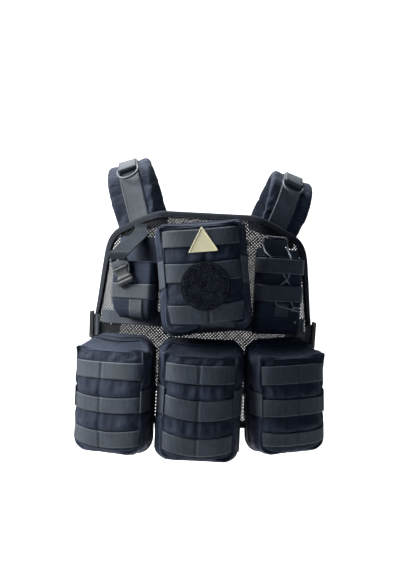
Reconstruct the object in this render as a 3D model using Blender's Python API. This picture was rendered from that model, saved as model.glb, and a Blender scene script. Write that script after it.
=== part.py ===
"""Load-carrying vest of net and woven nylon, modelled as it is worn.

Run it with: blender --background --python part.py

Lengths are metres and +Z is up. The front faces -Y, and -X is the wearer's right side.
The origin lies between the shoulders, at the height of the undersides of the shoulder pads.
The sizes come first, then the helpers that make solids, then one function for each sub-part.
"""

import math
from typing import NamedTuple

import bmesh
import bpy
from mathutils import Vector

MM = 0.001
GAP = 0.3 * MM
WEBBING = 1.8 * MM
CLOTH = 2.0 * MM


class Stretch(NamedTuple):
    """One stretch of a panel's plan line, from the middle outwards."""

    length: float
    turn: float


# Plan line of the torso side of the panels: flat, bent, flat, then round the side.
FRONT_PLAN = (
    Stretch(length=0.080, turn=0.0),
    Stretch(length=0.020, turn=23.0),
    Stretch(length=0.075, turn=0.0),
    Stretch(length=0.064, turn=62.0),
)
FRONT_DEPTH = 0.132
BACK_DEPTH = 0.112
CHEST_SLOPE_TOP = -0.070
CHEST_SLOPE_FOOT = -0.125
CHEST_SLOPE_RUN = 0.010
CHEST_SLOPE_POWER = 1.5


class EdgeRow(NamedTuple):
    """Half the width of a panel along its plan line, at one height."""

    z: float
    half: float


PANEL_THICK = 3.0 * MM
FRONT_EDGE = (
    EdgeRow(z=-0.455, half=0.198),
    EdgeRow(z=-0.430, half=0.209),
    EdgeRow(z=-0.280, half=0.213),
    EdgeRow(z=-0.245, half=0.204),
    EdgeRow(z=-0.200, half=0.197),
    EdgeRow(z=-0.150, half=0.189),
    EdgeRow(z=-0.132, half=0.183),
    EdgeRow(z=-0.116, half=0.170),
)
FRONT_TOP = (
    EdgeRow(z=-0.0815, half=0.0),
    EdgeRow(z=-0.0815, half=0.084),
    EdgeRow(z=-0.0915, half=0.115),
    EdgeRow(z=-0.1160, half=0.170),
)
FRONT_COLUMNS = (0.18, 0.38, 0.50, 0.64, 0.74, 0.84, 0.94)
FRONT_ROWS = (
    -0.440, -0.385, -0.325, -0.306, -0.287, -0.268, -0.249, -0.230, -0.211, -0.192, -0.173,
    -0.154, -0.133,
)
NET_SIDE_FROM = 0.60
NET_INNER_FROM = 0.30
NET_WAIST = (-0.330, -0.290)
NET_CHEST = -0.160
NET_LOWEST = -0.330
NET_OUTER_TO = 0.95

BACK_EDGE = (
    EdgeRow(z=-0.430, half=0.180),
    EdgeRow(z=-0.412, half=0.190),
    EdgeRow(z=-0.332, half=0.195),
    EdgeRow(z=-0.252, half=0.186),
    EdgeRow(z=-0.172, half=0.161),
    EdgeRow(z=-0.100, half=0.157),
    EdgeRow(z=-0.085, half=0.160),
)
BACK_TOP = (
    EdgeRow(z=-0.062, half=0.0),
    EdgeRow(z=-0.062, half=0.080),
    EdgeRow(z=-0.085, half=0.160),
)
BACK_COLUMNS = (0.13, 0.43, 0.57, 0.75, 0.93)
BACK_ROWS = (-0.412, -0.332, -0.252, -0.172, -0.100)
BACK_NET = (-0.420, -0.110)
HOLE_SHARE = 0.62
BACK_HOLE_SHARE = 0.80

BINDING_COVER = 8.0 * MM
BINDING_TAPE = 1.0 * MM
BINDING_PLAY = 0.8 * MM

ROW_Z = (-0.2855, -0.2600)
ROW_HALF = 0.188
ROW_GAP = 0.6 * MM
SEAT_OVER_ROW = ROW_GAP + WEBBING + GAP
SEAT_OVER_BINDING = BINDING_PLAY + BINDING_TAPE + GAP


class PadRow(NamedTuple):
    """One section of a shoulder pad's outer face: its neck edge and its arm edge."""

    neck: tuple
    arm: tuple


PAD_THICK = 10.0 * MM
PAD_SINK = 6.0 * MM
PAD_BACK_SINK = 8.0 * MM
PAD_FRONT = (
    EdgeRow(z=-0.106, half=0.087),
    EdgeRow(z=-0.132, half=0.157),
    EdgeRow(z=-0.084, half=0.091),
    EdgeRow(z=-0.113, half=0.163),
)
PAD_ARCH = (
    PadRow(neck=(0.101, -0.105, -0.036), arm=(0.176, -0.090, -0.066)),
    PadRow(neck=(0.1105, -0.088, 0.000), arm=(0.1880, -0.079, -0.030)),
    PadRow(neck=(0.117, -0.042, 0.021), arm=(0.1935, -0.040, -0.006)),
    PadRow(neck=(0.1155, 0.014, 0.0185), arm=(0.1915, 0.012, -0.0075)),
    PadRow(neck=(0.1050, 0.066, -0.009), arm=(0.1750, 0.056, -0.035)),
)
PAD_BACK = (
    EdgeRow(z=-0.064, half=0.089),
    EdgeRow(z=-0.085, half=0.152),
    EdgeRow(z=-0.088, half=0.086),
    EdgeRow(z=-0.108, half=0.146),
)
PAD_STATIONS = 20
PAD_EDGE_SHARE = 0.35
PAD_OVER_CHEST = 0.12
SHOULDER_LIFT = {"left": -0.0065, "right": 0.0045}
STRAP_WIDTH = 38.0 * MM

RING_WIRE = 4.2 * MM
RING_INSIDE = 35.0 * MM
RING_DROP = 27.0 * MM
RING_SIDES = 6
RING_ARC = 14
RING_REACH = 46.0 * MM
RING_NECK = 6.0 * MM
WALK_STEP = 0.002
AIM_STEP = 0.004
CREST = 0.5
KEEPER_WIDTH = 33.0 * MM
KEEPER_PLAY = 0.45 * MM
KEEPER_TAIL = 62.0 * MM
KEEPER_STATIONS = 5
KEEPER_SET_BACK = 9.0 * MM
KEEPER_TURN = 30


class Pouch(NamedTuple):
    """A large pouch: where it sits on the front panel, and its sizes."""

    name: str
    along: float
    z: float
    roll: float
    face_width: float
    face_height: float
    face_shift: float
    base_width: float
    base_height: float
    base_drop: float
    depth: float
    puff: float
    face_round: float
    base_round: float
    seat: float
    bands: tuple
    side_band: tuple


POUCHES = (
    Pouch(
        name="upper_pouch", along=-0.003, z=-0.1895, roll=7.3,
        face_width=0.127, face_height=0.163, face_shift=0.0, base_width=0.154, base_height=0.191,
        base_drop=-0.005, depth=0.066, puff=0.004, face_round=0.010, base_round=0.014,
        seat=SEAT_OVER_ROW, bands=((-0.0795, -0.0485), (-0.0105, 0.0210), (0.0480, 0.0785)),
        side_band=(-0.0180, 0.0260),
    ),
    Pouch(
        name="lower_pouch_middle", along=0.0005, z=-0.4115, roll=0.0,
        face_width=0.114, face_height=0.171, face_shift=0.0, base_width=0.142, base_height=0.209,
        base_drop=0.003, depth=0.070, puff=0.006, face_round=0.012, base_round=0.022,
        seat=SEAT_OVER_BINDING, bands=((-0.0730, -0.0440), (-0.0150, 0.0180), (0.0410, 0.0717)),
        side_band=(-0.0150, 0.0290),
    ),
    Pouch(
        name="lower_pouch_right", along=-0.1395, z=-0.4115, roll=1.0,
        face_width=0.124, face_height=0.171, face_shift=0.0065, base_width=0.128, base_height=0.205,
        base_drop=0.005, depth=0.066, puff=0.004, face_round=0.020, base_round=0.032,
        seat=SEAT_OVER_BINDING, bands=((-0.0729, -0.0460), (-0.0162, 0.0091), (0.0371, 0.0652)),
        side_band=(-0.0162, 0.0190),
    ),
    Pouch(
        name="lower_pouch_left", along=0.1415, z=-0.4015, roll=4.0,
        face_width=0.116, face_height=0.159, face_shift=-0.0020, base_width=0.128, base_height=0.196,
        base_drop=0.007, depth=0.066, puff=0.004, face_round=0.016, base_round=0.030,
        seat=SEAT_OVER_BINDING, bands=((-0.0677, -0.0450), (-0.0185, 0.0102), (0.0350, 0.0660)),
        side_band=(-0.0185, 0.0190),
    ),
)
POUCH_COLUMNS = (-1.0, -0.75, -0.2, 0.25, 0.75, 1.0)
POUCH_RINGS = (0.0, 0.4, 1.0)
ROW_SPACING = 4.5 * MM
FACE_CROWN = 3.0 * MM
FACE_PILLOW = 3.0 * MM
TOP_SAG = 3.0 * MM
TOP_SAG_POWER = 4
CORNER_ROW_SHARE = 0.3
BACK_PLATE = 2.0 * MM
BACK_MARGIN = 2.0 * MM
BACK_CORNER_STEPS = 4
BAND_LIFT = 0.5 * MM
SIDE_BAND_LIFT = 0.45 * MM
TAB_LIFT = 0.6 * MM

PATCH_RADIUS = 0.041
PATCH_THICK = 2.5 * MM
PATCH_CENTRE = (0.0015, -0.0205)
PATCH_SIDES = 32
BADGE_APEX = (0.0025, 0.0790)
BADGE_FOOT = 0.0365
BADGE_HALF = 0.0252
BADGE_ROUND = 2.5 * MM
BADGE_THICK = 2.2 * MM
TAB_COLUMNS = (2, 4)


class Cup(NamedTuple):
    """A small pouch with an open top: its place on the front panel and its sizes."""

    name: str
    along: float
    z: float
    width: float
    depth: float
    foot: float
    mouth: float
    plate_top: float
    seat: float


RADIO = Cup(
    name="radio_pouch", along=-0.1225, z=-0.190, width=0.067, depth=0.026,
    foot=-0.082, mouth=0.016, plate_top=0.044, seat=SEAT_OVER_ROW,
)
MAGAZINE = Cup(
    name="magazine_pouch", along=0.1305, z=-0.190, width=0.078, depth=0.018,
    foot=-0.098, mouth=0.037, plate_top=0.052, seat=SEAT_OVER_ROW,
)
CUP_ROUND = 7.0 * MM
CUP_MARGIN = 1.0 * MM
CUP_PLATE_CUT = 8.0 * MM
CUP_BAND_BACK = 2.0 * MM
CUP_BAND_PLAY = 0.45 * MM
CORNER_LIFT_SHARE = 0.7
RADIO_BAND = (-0.0480, -0.0220)
MAGAZINE_BANDS = {"lower": (-0.0400, -0.0120), "upper": (0.0085, 0.0345)}
MAGAZINE_BAND_LIFT = 3.4 * MM
MAGAZINE_TAB = (0.0385, 0.0685)
MAGAZINE_TAB_WIDTH = 0.042
MAGAZINE_TAB_SHIFT = -0.012

BUCKLE_TILT = 25.0
BUCKLE_HALF = 16.5 * MM
BUCKLE_BAR_AT = (-0.0200, 0.0215)
PLUG_THICK = 3.6 * MM
PLUG_ROWS = (-4.0 * MM, 0.5 * MM, 7.0 * MM, 16.5 * MM, 40.0 * MM)
PLUG_COLUMNS = (3.0 * MM, 10.0 * MM, 13.8 * MM)
SOCKET_FROM = 17.0 * MM
SOCKET_LENGTH = 33.0 * MM
SOCKET_THICK = 8.0 * MM
SOCKET_WALL = 1.8 * MM
SOCKET_FLOOR = 5.0 * MM


class StrapStation(NamedTuple):
    """A point of the strap that closes the radio pouch, in that pouch's own axes."""

    u: float
    v: float
    d: float
    half: float


RADIO_STRAP = (
    StrapStation(u=0.0045, v=0.0840, d=-0.0040, half=0.0125),
    StrapStation(u=0.0050, v=0.0765, d=-0.0022, half=0.0125),
    StrapStation(u=0.0060, v=0.0715, d=0.0012, half=0.0130),
    StrapStation(u=0.0060, v=0.0630, d=0.0070, half=0.0172),
    StrapStation(u=-0.0040, v=0.0475, d=0.0200, half=0.0172),
    StrapStation(u=-0.0165, v=0.0335, d=0.0325, half=0.0172),
    StrapStation(u=-0.0202, v=0.0290, d=0.0376, half=0.0150),
    StrapStation(u=-0.0195, v=0.0190, d=0.0366, half=0.0150),
)


class CordPoint(NamedTuple):
    """A point of the shock cord's route, in the magazine pouch's own axes."""

    u: float
    v: float
    d: float


CORD_DIAMETER = 2.4 * MM
CORD_POINTS = 62
CORD_ROUTE = (
    CordPoint(u=0.0360, v=-0.0545, d=0.0202),
    CordPoint(u=0.0280, v=-0.0520, d=0.0200),
    CordPoint(u=0.0200, v=-0.0480, d=0.0198),
    CordPoint(u=0.0160, v=-0.0400, d=0.0196),
    CordPoint(u=0.0140, v=-0.0260, d=0.0196),
    CordPoint(u=0.0125, v=-0.0120, d=0.0196),
    CordPoint(u=0.0055, v=-0.0020, d=0.0196),
    CordPoint(u=-0.0020, v=0.0085, d=0.0196),
    CordPoint(u=-0.0150, v=0.0230, d=0.0196),
    CordPoint(u=-0.0305, v=0.0375, d=0.0198),
    CordPoint(u=-0.0352, v=0.0450, d=0.0120),
    CordPoint(u=-0.0352, v=0.0540, d=0.0045),
    CordPoint(u=-0.0362, v=0.0656, d=0.0022),
    CordPoint(u=-0.0322, v=0.0722, d=0.0022),
    CordPoint(u=-0.0120, v=0.0728, d=0.0022),
    CordPoint(u=0.0084, v=0.0722, d=0.0022),
    CordPoint(u=0.0124, v=0.0656, d=0.0022),
    CordPoint(u=0.0122, v=0.0540, d=0.0045),
    CordPoint(u=0.0118, v=0.0450, d=0.0120),
    CordPoint(u=0.0115, v=0.0375, d=0.0198),
    CordPoint(u=0.0110, v=0.0230, d=0.0196),
    CordPoint(u=0.0104, v=0.0085, d=0.0202),
    CordPoint(u=0.0040, v=-0.0020, d=0.0226),
    CordPoint(u=-0.0070, v=-0.0120, d=0.0202),
    CordPoint(u=-0.0110, v=-0.0260, d=0.0196),
    CordPoint(u=-0.0140, v=-0.0400, d=0.0196),
    CordPoint(u=-0.0100, v=-0.0465, d=0.0196),
    CordPoint(u=0.0040, v=-0.0500, d=0.0196),
    CordPoint(u=0.0180, v=-0.0560, d=0.0196),
    CordPoint(u=0.0340, v=-0.0610, d=0.0202),
)

SIDE_STRAP_WIDTH = 38.0 * MM
SIDE_STRAP_FRONT = -0.290
SIDE_STRAP_BACK = -0.315
SIDE_STRAP_LAP = 20.0 * MM
SIDE_STRAP_LIFT = 4.2 * MM
SIDE_STRAP_BACK_LIFT = 5.4 * MM
SIDE_STRAP_BULGE = 0.213
SIDE_STRAP_STATIONS = 14
SLIDER_AT = 0.30
SLIDER_THICK = 3.0 * MM
SLIDER_COLUMNS = (4.0 * MM, 10.5 * MM, 15.0 * MM)
SLIDER_ROWS = (20.0 * MM, 24.0 * MM)

COLOURS = {
    "cordura": (0.022, 0.025, 0.042, 0.85, 0.0),
    "net": (0.012, 0.013, 0.015, 0.80, 0.0),
    "tape": (0.014, 0.016, 0.018, 0.75, 0.0),
    "webbing": (0.048, 0.055, 0.062, 0.75, 0.0),
    "acetal": (0.050, 0.055, 0.060, 0.45, 0.0),
    "hook_and_loop": (0.010, 0.013, 0.022, 0.95, 0.0),
    "rubber": (0.640, 0.560, 0.360, 0.60, 0.0),
    "shock_cord": (0.045, 0.050, 0.055, 0.70, 0.0),
}


def clear_scene():
    """Remove whatever the open scene holds."""
    for thing in list(bpy.data.objects):
        bpy.data.objects.remove(thing, do_unlink=True)


def material(name):
    """The named material, made once."""
    found = bpy.data.materials.get(name)
    if found:
        return found
    made = bpy.data.materials.new(name)
    made.use_nodes = True
    shader = made.node_tree.nodes["Principled BSDF"]
    red, green, blue, rough, metal = COLOURS[name]
    shader.inputs["Base Color"].default_value = (red, green, blue, 1.0)
    shader.inputs["Roughness"].default_value = rough
    shader.inputs["Metallic"].default_value = metal
    return made


def solid(name, points, faces, finish, origin=None):
    """One closed mesh object, with its faces turned outwards."""
    mesh = bpy.data.meshes.new(name)
    start = Vector(origin) if origin else Vector((0.0, 0.0, 0.0))
    mesh.from_pydata([Vector(p) - start for p in points], [], faces)
    shape = bmesh.new()
    shape.from_mesh(mesh)
    bmesh.ops.recalc_face_normals(shape, faces=shape.faces)
    shape.to_mesh(mesh)
    shape.free()
    mesh.materials.append(material(finish))
    mesh.shade_smooth()
    mesh.set_sharp_from_angle(angle=math.radians(40))
    made = bpy.data.objects.new(name, mesh)
    made.location = start
    bpy.context.scene.collection.objects.link(made)
    return made


def loft(rings, closed=False):
    """Points and faces of a skin over rings of equal size, closed on itself or capped."""
    size = len(rings[0])
    points = [point for ring in rings for point in ring]
    faces = []
    spans = len(rings) if closed else len(rings) - 1
    for k in range(spans):
        here = k * size
        there = (k + 1) % len(rings) * size
        for i in range(size):
            j = (i + 1) % size
            faces.append((here + i, here + j, there + j))
            faces.append((here + i, there + j, there + i))
    if not closed:
        faces.append(tuple(range(size)))
        faces.append(tuple(range(len(points) - size, len(points))))
    return points, faces


def ribbon(name, stations, thick, finish="webbing"):
    """A strap over stations of (low edge, high edge, outward direction)."""
    rings = []
    for low, high, out in stations:
        step = out.normalized() * thick
        rings.append([low, high, high + step, low + step])
    return solid(name, *loft(rings), finish)


def between(a, b, share):
    """The value that lies this share of the way from a to b."""
    return a + (b - a) * share


def from_table(rows, z):
    """The half width that an edge table gives at a height."""
    rows = sorted(rows, key=lambda row: row.z)
    z = min(max(z, rows[0].z), rows[-1].z)
    for low, high in zip(rows, rows[1:]):
        if z <= high.z:
            return between(low.half, high.half, (z - low.z) / (high.z - low.z))
    return rows[-1].half


def top_at(rows, along):
    """The height of a panel's top edge at a distance from its middle."""
    for near, far in zip(rows, rows[1:]):
        if along <= far.half:
            return between(near.z, far.z, (along - near.half) / (far.half - near.half))
    return rows[-1].z


def plan(along):
    """(x, rise, turn) of the panels' plan line at a distance along it from the middle."""
    left = abs(along)
    x = 0.0
    rise = 0.0
    heading = 0.0
    for part in FRONT_PLAN:
        run = min(left, part.length)
        bend = math.radians(part.turn) * run / part.length
        if bend:
            radius = run / bend
            x += radius * (math.sin(heading + bend) - math.sin(heading))
            rise += radius * (math.cos(heading) - math.cos(heading + bend))
        else:
            x += run * math.cos(heading)
            rise += run * math.sin(heading)
        heading += bend
        left -= run
    side = math.copysign(1.0, along)
    return side * (x + left * math.cos(heading)), rise + left * math.sin(heading), side * heading


def chest_lean(z):
    """How far the chest falls back above the level of the arms."""
    share = (z - CHEST_SLOPE_FOOT) / (CHEST_SLOPE_TOP - CHEST_SLOPE_FOOT)
    return CHEST_SLOPE_RUN * max(0.0, share) ** CHEST_SLOPE_POWER


def outward(along):
    """The direction away from the wearer at a distance from the front panel's middle."""
    turn = plan(along)[2]
    return Vector((math.sin(turn), -math.cos(turn), 0.0))


def on_front(along, z, out):
    """A point of the front panel's middle surface, moved outwards."""
    x, rise, _ = plan(along)
    return Vector((x, -FRONT_DEPTH + rise + chest_lean(z), z)) + outward(along) * out


def on_back(along, z, out):
    """A point of the back panel's middle surface, moved outwards."""
    x, rise, turn = plan(along)
    return Vector((x + out * math.sin(turn), BACK_DEPTH - rise + out * math.cos(turn), z))


class Frame:
    """Axes on the front panel: u to the viewer's right, v up and d away from the wearer."""

    def __init__(self, along, z, roll, out):
        self.origin = on_front(along, z, out)
        self.d = outward(along)
        up = Vector((0.0, 0.0, 1.0))
        flat = up.cross(self.d)
        tilt = math.radians(roll)
        self.u = flat * math.cos(tilt) + up * math.sin(tilt)
        self.v = up * math.cos(tilt) - flat * math.sin(tilt)

    def at(self, u, v, d):
        """The world point of local coordinates."""
        return self.origin + self.u * u + self.v * v + self.d * d


def panel_grid(edge, top, columns, rows, place):
    """Rows of points on a panel's middle surface, from the lowest row to its top edge."""
    lows = [edge[0].z, *rows, edge[-1].z]
    shares = [-1.0, *[-c for c in reversed(columns)], *columns, 1.0]
    nominal_top = edge[-1].z
    foot = edge[0].z
    grid = []
    for z in lows:
        line = []
        for share in shares:
            along = share * from_table(edge, z)
            crest = top_at(top, abs(along))
            height = foot + (z - foot) * (crest - foot) / (nominal_top - foot)
            line.append((along, height))
        grid.append(line)
    return [[place(along, z) for along, z in line] for line in grid], shares, lows


def normals_of(grid, side):
    """The outward direction at each point of a grid, with side 1 for the front and -1 for the back."""
    result = []
    for j, line in enumerate(grid):
        row = []
        for i in range(len(line)):
            across = line[min(i + 1, len(line) - 1)] - line[max(i - 1, 0)]
            upward = grid[min(j + 1, len(grid) - 1)][i] - grid[max(j - 1, 0)][i]
            row.append(across.cross(upward).normalized() * side)
        result.append(row)
    return result


def pierced_sheet(name, grid, outs, thick, is_hole, share, finish):
    """A sheet over a grid, with a hole through the middle of each cell that is_hole names."""
    points = []
    faces = []
    wide = len(grid[0])
    for sign in (1.0, -1.0):
        for line, out_line in zip(grid, outs):
            points.extend(p + o * (sign * thick / 2) for p, o in zip(line, out_line))
    other = wide * len(grid)
    for j in range(len(grid) - 1):
        for i in range(wide - 1):
            ring = [j * wide + i, j * wide + i + 1, (j + 1) * wide + i + 1, (j + 1) * wide + i]
            if not is_hole(i, j):
                faces.append(ring)
                faces.append([corner + other for corner in ring])
                continue
            first = len(points)
            for layer in (0, other):
                middle = sum((points[c + layer] for c in ring), Vector()) / 4
                points.extend(middle + (points[c + layer] - middle) * share for c in ring)
            for k in range(4):
                n = (k + 1) % 4
                faces.append((ring[k], ring[n], first + n, first + k))
                faces.append((ring[k] + other, ring[n] + other, first + 4 + n, first + 4 + k))
                faces.append((first + k, first + n, first + 4 + n, first + 4 + k))
    border = rim_of(wide, len(grid))
    for here, there in zip(border, border[1:] + border[:1]):
        a = here[1] * wide + here[0]
        b = there[1] * wide + there[0]
        faces.append((a, b, b + other, a + other))
    return solid(name, points, faces, finish)


def rim_of(wide, high):
    """The (column, row) pairs around a grid, once round."""
    return (
        [(i, 0) for i in range(wide - 1)]
        + [(wide - 1, j) for j in range(high - 1)]
        + [(i, high - 1) for i in range(wide - 1, 0, -1)]
        + [(0, j) for j in range(high - 1, 0, -1)]
    )


def binding(name, grid, outs):
    """A tape folded over a panel's edge: a channel that goes once round it."""
    wide = len(grid[0])
    high = len(grid)
    slot = PANEL_THICK / 2 + BINDING_PLAY
    skin = slot + BINDING_TAPE
    rings = []
    for i, j in rim_of(wide, high):
        point = grid[j][i]
        inward = Vector()
        if i in (0, wide - 1):
            inward += (grid[j][1 if i == 0 else wide - 2] - point).normalized()
        if j in (0, high - 1):
            inward += (grid[1 if j == 0 else high - 2][i] - point).normalized()
        out = outs[j][i]
        profile = (
            (BINDING_COVER, slot), (-GAP, slot), (-GAP, -slot), (BINDING_COVER, -slot),
            (BINDING_COVER, -skin), (-GAP - BINDING_TAPE, -skin), (-GAP - BINDING_TAPE, skin),
            (BINDING_COVER, skin),
        )
        rings.append([point + inward * a + out * b for a, b in profile])
    return solid(name, *loft(rings, closed=True), "tape")


def front_panel():
    """The net front panel and its binding."""
    grid, shares, lows = panel_grid(
        FRONT_EDGE, FRONT_TOP, FRONT_COLUMNS, FRONT_ROWS, lambda s, z: on_front(s, z, 0.0)
    )
    outs = normals_of(grid, 1.0)

    def net_shows(i, j):
        share = min(abs(shares[i]), abs(shares[i + 1]))
        low = lows[j]
        if j >= len(lows) - 2 or low < NET_LOWEST or max(abs(shares[i]), abs(shares[i + 1])) > NET_OUTER_TO:
            return False
        waist = NET_WAIST[0] < low < NET_WAIST[1] and share > NET_INNER_FROM
        chest = low > NET_CHEST and share > NET_INNER_FROM
        return share > NET_SIDE_FROM or waist or chest

    pierced_sheet("front_panel", grid, outs, PANEL_THICK, net_shows, HOLE_SHARE, "net")
    binding("front_binding", grid, outs)


def back_panel():
    """The net back panel and its binding."""
    grid, shares, lows = panel_grid(
        BACK_EDGE, BACK_TOP, BACK_COLUMNS, BACK_ROWS, lambda s, z: on_back(s, z, 0.0)
    )
    outs = normals_of(grid, -1.0)

    def net_shows(i, j):
        inside = max(abs(shares[i]), abs(shares[i + 1])) < NET_OUTER_TO
        return inside and BACK_NET[0] < lows[j] < BACK_NET[1]

    pierced_sheet("back_panel", grid, outs, PANEL_THICK, net_shows, BACK_HOLE_SHARE, "net")
    binding("back_binding", grid, outs)


def panel_row():
    """The webbing row sewn across the front panel at the waist."""
    stations = []
    middle = (ROW_Z[0] + ROW_Z[1]) / 2
    edge = from_table(FRONT_EDGE, middle)
    inner = [c * edge for c in FRONT_COLUMNS if c * edge < ROW_HALF]
    places = [-ROW_HALF, *[-c for c in reversed(inner)], *inner, ROW_HALF]
    lift = PANEL_THICK / 2 + ROW_GAP
    for along in places:
        low = on_front(along, ROW_Z[0], lift)
        high = on_front(along, ROW_Z[1], lift)
        stations.append((low, high, outward(along)))
    ribbon("panel_row", stations, WEBBING)


def smooth(rows, share):
    """A point on the smooth line through the rows, at a share of its length in rows."""
    spot = share * (len(rows) - 1)
    k = min(int(spot), len(rows) - 2)
    t = spot - k
    p0, p1 = rows[max(k - 1, 0)], rows[k]
    p2, p3 = rows[k + 1], rows[min(k + 2, len(rows) - 1)]
    return 0.5 * (
        2 * p1 + (p2 - p0) * t + (2 * p0 - 5 * p1 + 4 * p2 - p3) * t * t
        + (3 * p1 - p0 - 3 * p2 + p3) * t * t * t
    )


class Shoulder:
    """The outer face of one shoulder pad, from the front panel over the shoulder to the back."""

    def __init__(self, side):
        self.side = side
        self.sign = 1.0 if side == "left" else -1.0
        self.lift = SHOULDER_LIFT[side]
        self.neck, self.arm = self.rails()

    def rails(self):
        """The neck edge and the arm edge, as rows of points."""
        neck = []
        arm = []
        for k in (0, 2):
            neck.append(on_front(PAD_FRONT[k].half, PAD_FRONT[k].z, -PAD_SINK))
            arm.append(on_front(PAD_FRONT[k + 1].half, PAD_FRONT[k + 1].z, -PAD_SINK))
        raised = Vector((0.0, 0.0, self.lift))
        for row in PAD_ARCH:
            neck.append(Vector(row.neck) + raised)
            arm.append(Vector(row.arm) + raised)
        for k in (0, 2):
            neck.append(on_back(PAD_BACK[k].half, PAD_BACK[k].z, -PAD_BACK_SINK))
            arm.append(on_back(PAD_BACK[k + 1].half, PAD_BACK[k + 1].z, -PAD_BACK_SINK))
        turned = Vector((self.sign, 1.0, 1.0))
        return [p * turned for p in neck], [p * turned for p in arm]

    def axes(self, share):
        """(middle, across, along, out) of the outer face at a share of the way."""
        here = [smooth(rail, share) for rail in (self.neck, self.arm)]
        ahead = [smooth(rail, min(share + AIM_STEP, 1.0)) for rail in (self.neck, self.arm)]
        behind = [smooth(rail, max(share - AIM_STEP, 0.0)) for rail in (self.neck, self.arm)]
        across = (here[1] - here[0]).normalized()
        along = (ahead[0] + ahead[1] - behind[0] - behind[1]).normalized()
        out = along.cross(across).normalized() * self.sign
        out = out if out.dot(Vector((0.0, here[0].y, PAD_OVER_CHEST))) > 0 else -out
        return (here[0] + here[1]) / 2, across, along, out

    def width(self, share):
        """The width of the pad at a share of the way."""
        return (smooth(self.arm, share) - smooth(self.neck, share)).length

    def at(self, share, across, height):
        """A point over the outer face."""
        middle, side, _, out = self.axes(share)
        return middle + side * across + out * height

    def share_ahead(self, reach):
        """The share of the way that lies this far in front of the crest, or behind it if negative."""
        step = -math.copysign(WALK_STEP, reach)
        share = CREST
        last = self.axes(share)[0]
        travelled = 0.0
        while travelled < abs(reach):
            share += step
            here = self.axes(share)[0]
            travelled += (here - last).length
            last = here
        return share


def shoulder_pad(shoulder):
    """A padded strap with round edges."""
    rings = []
    soft = PAD_THICK * PAD_EDGE_SHARE
    for k in range(PAD_STATIONS + 1):
        share = k / PAD_STATIONS
        half = shoulder.width(share) / 2
        strap = STRAP_WIDTH / 2
        outline = (
            (-half + soft, 0.0), (-strap, 0.0), (strap, 0.0), (half - soft, 0.0),
            (half, -soft), (half, soft - PAD_THICK),
            (half - soft, -PAD_THICK), (soft - half, -PAD_THICK), (-half, soft - PAD_THICK),
            (-half, -soft),
        )
        rings.append([shoulder.at(share, a, h) for a, h in outline])
    solid(f"shoulder_pad_{shoulder.side}", *loft(rings), "cordura")


def shoulder_webbing(shoulder):
    """The main webbing over a shoulder pad."""
    stations = []
    for k in range(PAD_STATIONS + 1):
        share = k / PAD_STATIONS
        low = shoulder.at(share, -STRAP_WIDTH / 2, GAP)
        high = shoulder.at(share, STRAP_WIDTH / 2, GAP)
        stations.append((low, high, shoulder.axes(share)[3]))
    ribbon(f"shoulder_webbing_{shoulder.side}", stations, WEBBING)


class Ring:
    """The D-ring of one shoulder, at rest on the webbing, with its bar's place and axes."""

    def __init__(self, shoulder):
        share = shoulder.share_ahead(RING_REACH)
        middle, across, along, out = shoulder.axes(share)
        self.side = shoulder.side
        self.shoulder = shoulder
        self.across = across
        self.down = (-along).normalized()
        self.out = self.across.cross(self.down).normalized()
        self.out = self.out if self.out.dot(out) > 0 else -self.out
        self.height = GAP + WEBBING + GAP + WEBBING + KEEPER_PLAY + RING_WIRE / 2
        self.centre = middle + self.out * self.height

    def at(self, across, down, out):
        """A point near the bar: across it, down the strap and away from it."""
        return self.centre + self.across * across + self.down * down + self.out * out


def d_ring(ring):
    """A round-wire ring: a straight bar and a bow, with its origin on the bar."""
    half = (RING_INSIDE + RING_WIRE) / 2
    path = [(-half, 0.0), (half, 0.0)]
    for k in range(RING_ARC + 1):
        turn = math.pi * k / RING_ARC
        drop = RING_NECK + (RING_DROP - RING_NECK) * math.sin(turn)
        path.append((half * math.cos(turn), drop))
    rings = []
    for k, (a, b) in enumerate(path):
        before, after = path[k - 1], path[(k + 1) % len(path)]
        heading = Vector((after[0] - before[0], after[1] - before[1])).normalized()
        normal = Vector((heading.y, -heading.x))
        wire = []
        for n in range(RING_SIDES):
            turn = 2 * math.pi * n / RING_SIDES
            side = normal * (RING_WIRE / 2 * math.cos(turn))
            wire.append(ring.at(a + side.x, b + side.y, RING_WIRE / 2 * math.sin(turn)))
        rings.append(wire)
    points, faces = loft(rings, closed=True)
    solid(f"d_ring_{ring.side}", points, faces, "acetal", origin=ring.centre)


def ring_keeper(ring):
    """Webbing doubled over the shoulder and folded round the ring's bar."""
    inner = RING_WIRE / 2 + KEEPER_PLAY
    bend = inner + WEBBING / 2
    shoulder = ring.shoulder
    half = KEEPER_WIDTH / 2
    low_lift = GAP + WEBBING + GAP
    rings = []

    def section(middle, out, side):
        step = out.normalized() * (WEBBING / 2)
        reach = side.normalized() * half
        rings.append([
            middle - reach - step, middle + reach - step,
            middle + reach + step, middle - reach + step,
        ])

    shares = []
    for k in range(KEEPER_STATIONS + 1):
        reach = RING_REACH - KEEPER_SET_BACK - KEEPER_TAIL * k / KEEPER_STATIONS
        shares.append(shoulder.share_ahead(reach))
    for share in reversed(shares):
        middle, side, _, out = shoulder.axes(share)
        section(middle + out * (low_lift + WEBBING / 2), -out, side)
    for degrees in range(-90, 91, KEEPER_TURN):
        turn = math.radians(degrees)
        place = ring.at(0.0, bend * math.cos(turn), bend * math.sin(turn))
        section(place, ring.down * math.cos(turn) + ring.out * math.sin(turn), ring.across)
    for share in shares:
        middle, side, _, out = shoulder.axes(share)
        lift = low_lift + WEBBING + GAP + WEBBING / 2
        section(middle + out * lift, out, side)
    solid(f"ring_keeper_{ring.side}", *loft(rings), "webbing")


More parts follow.
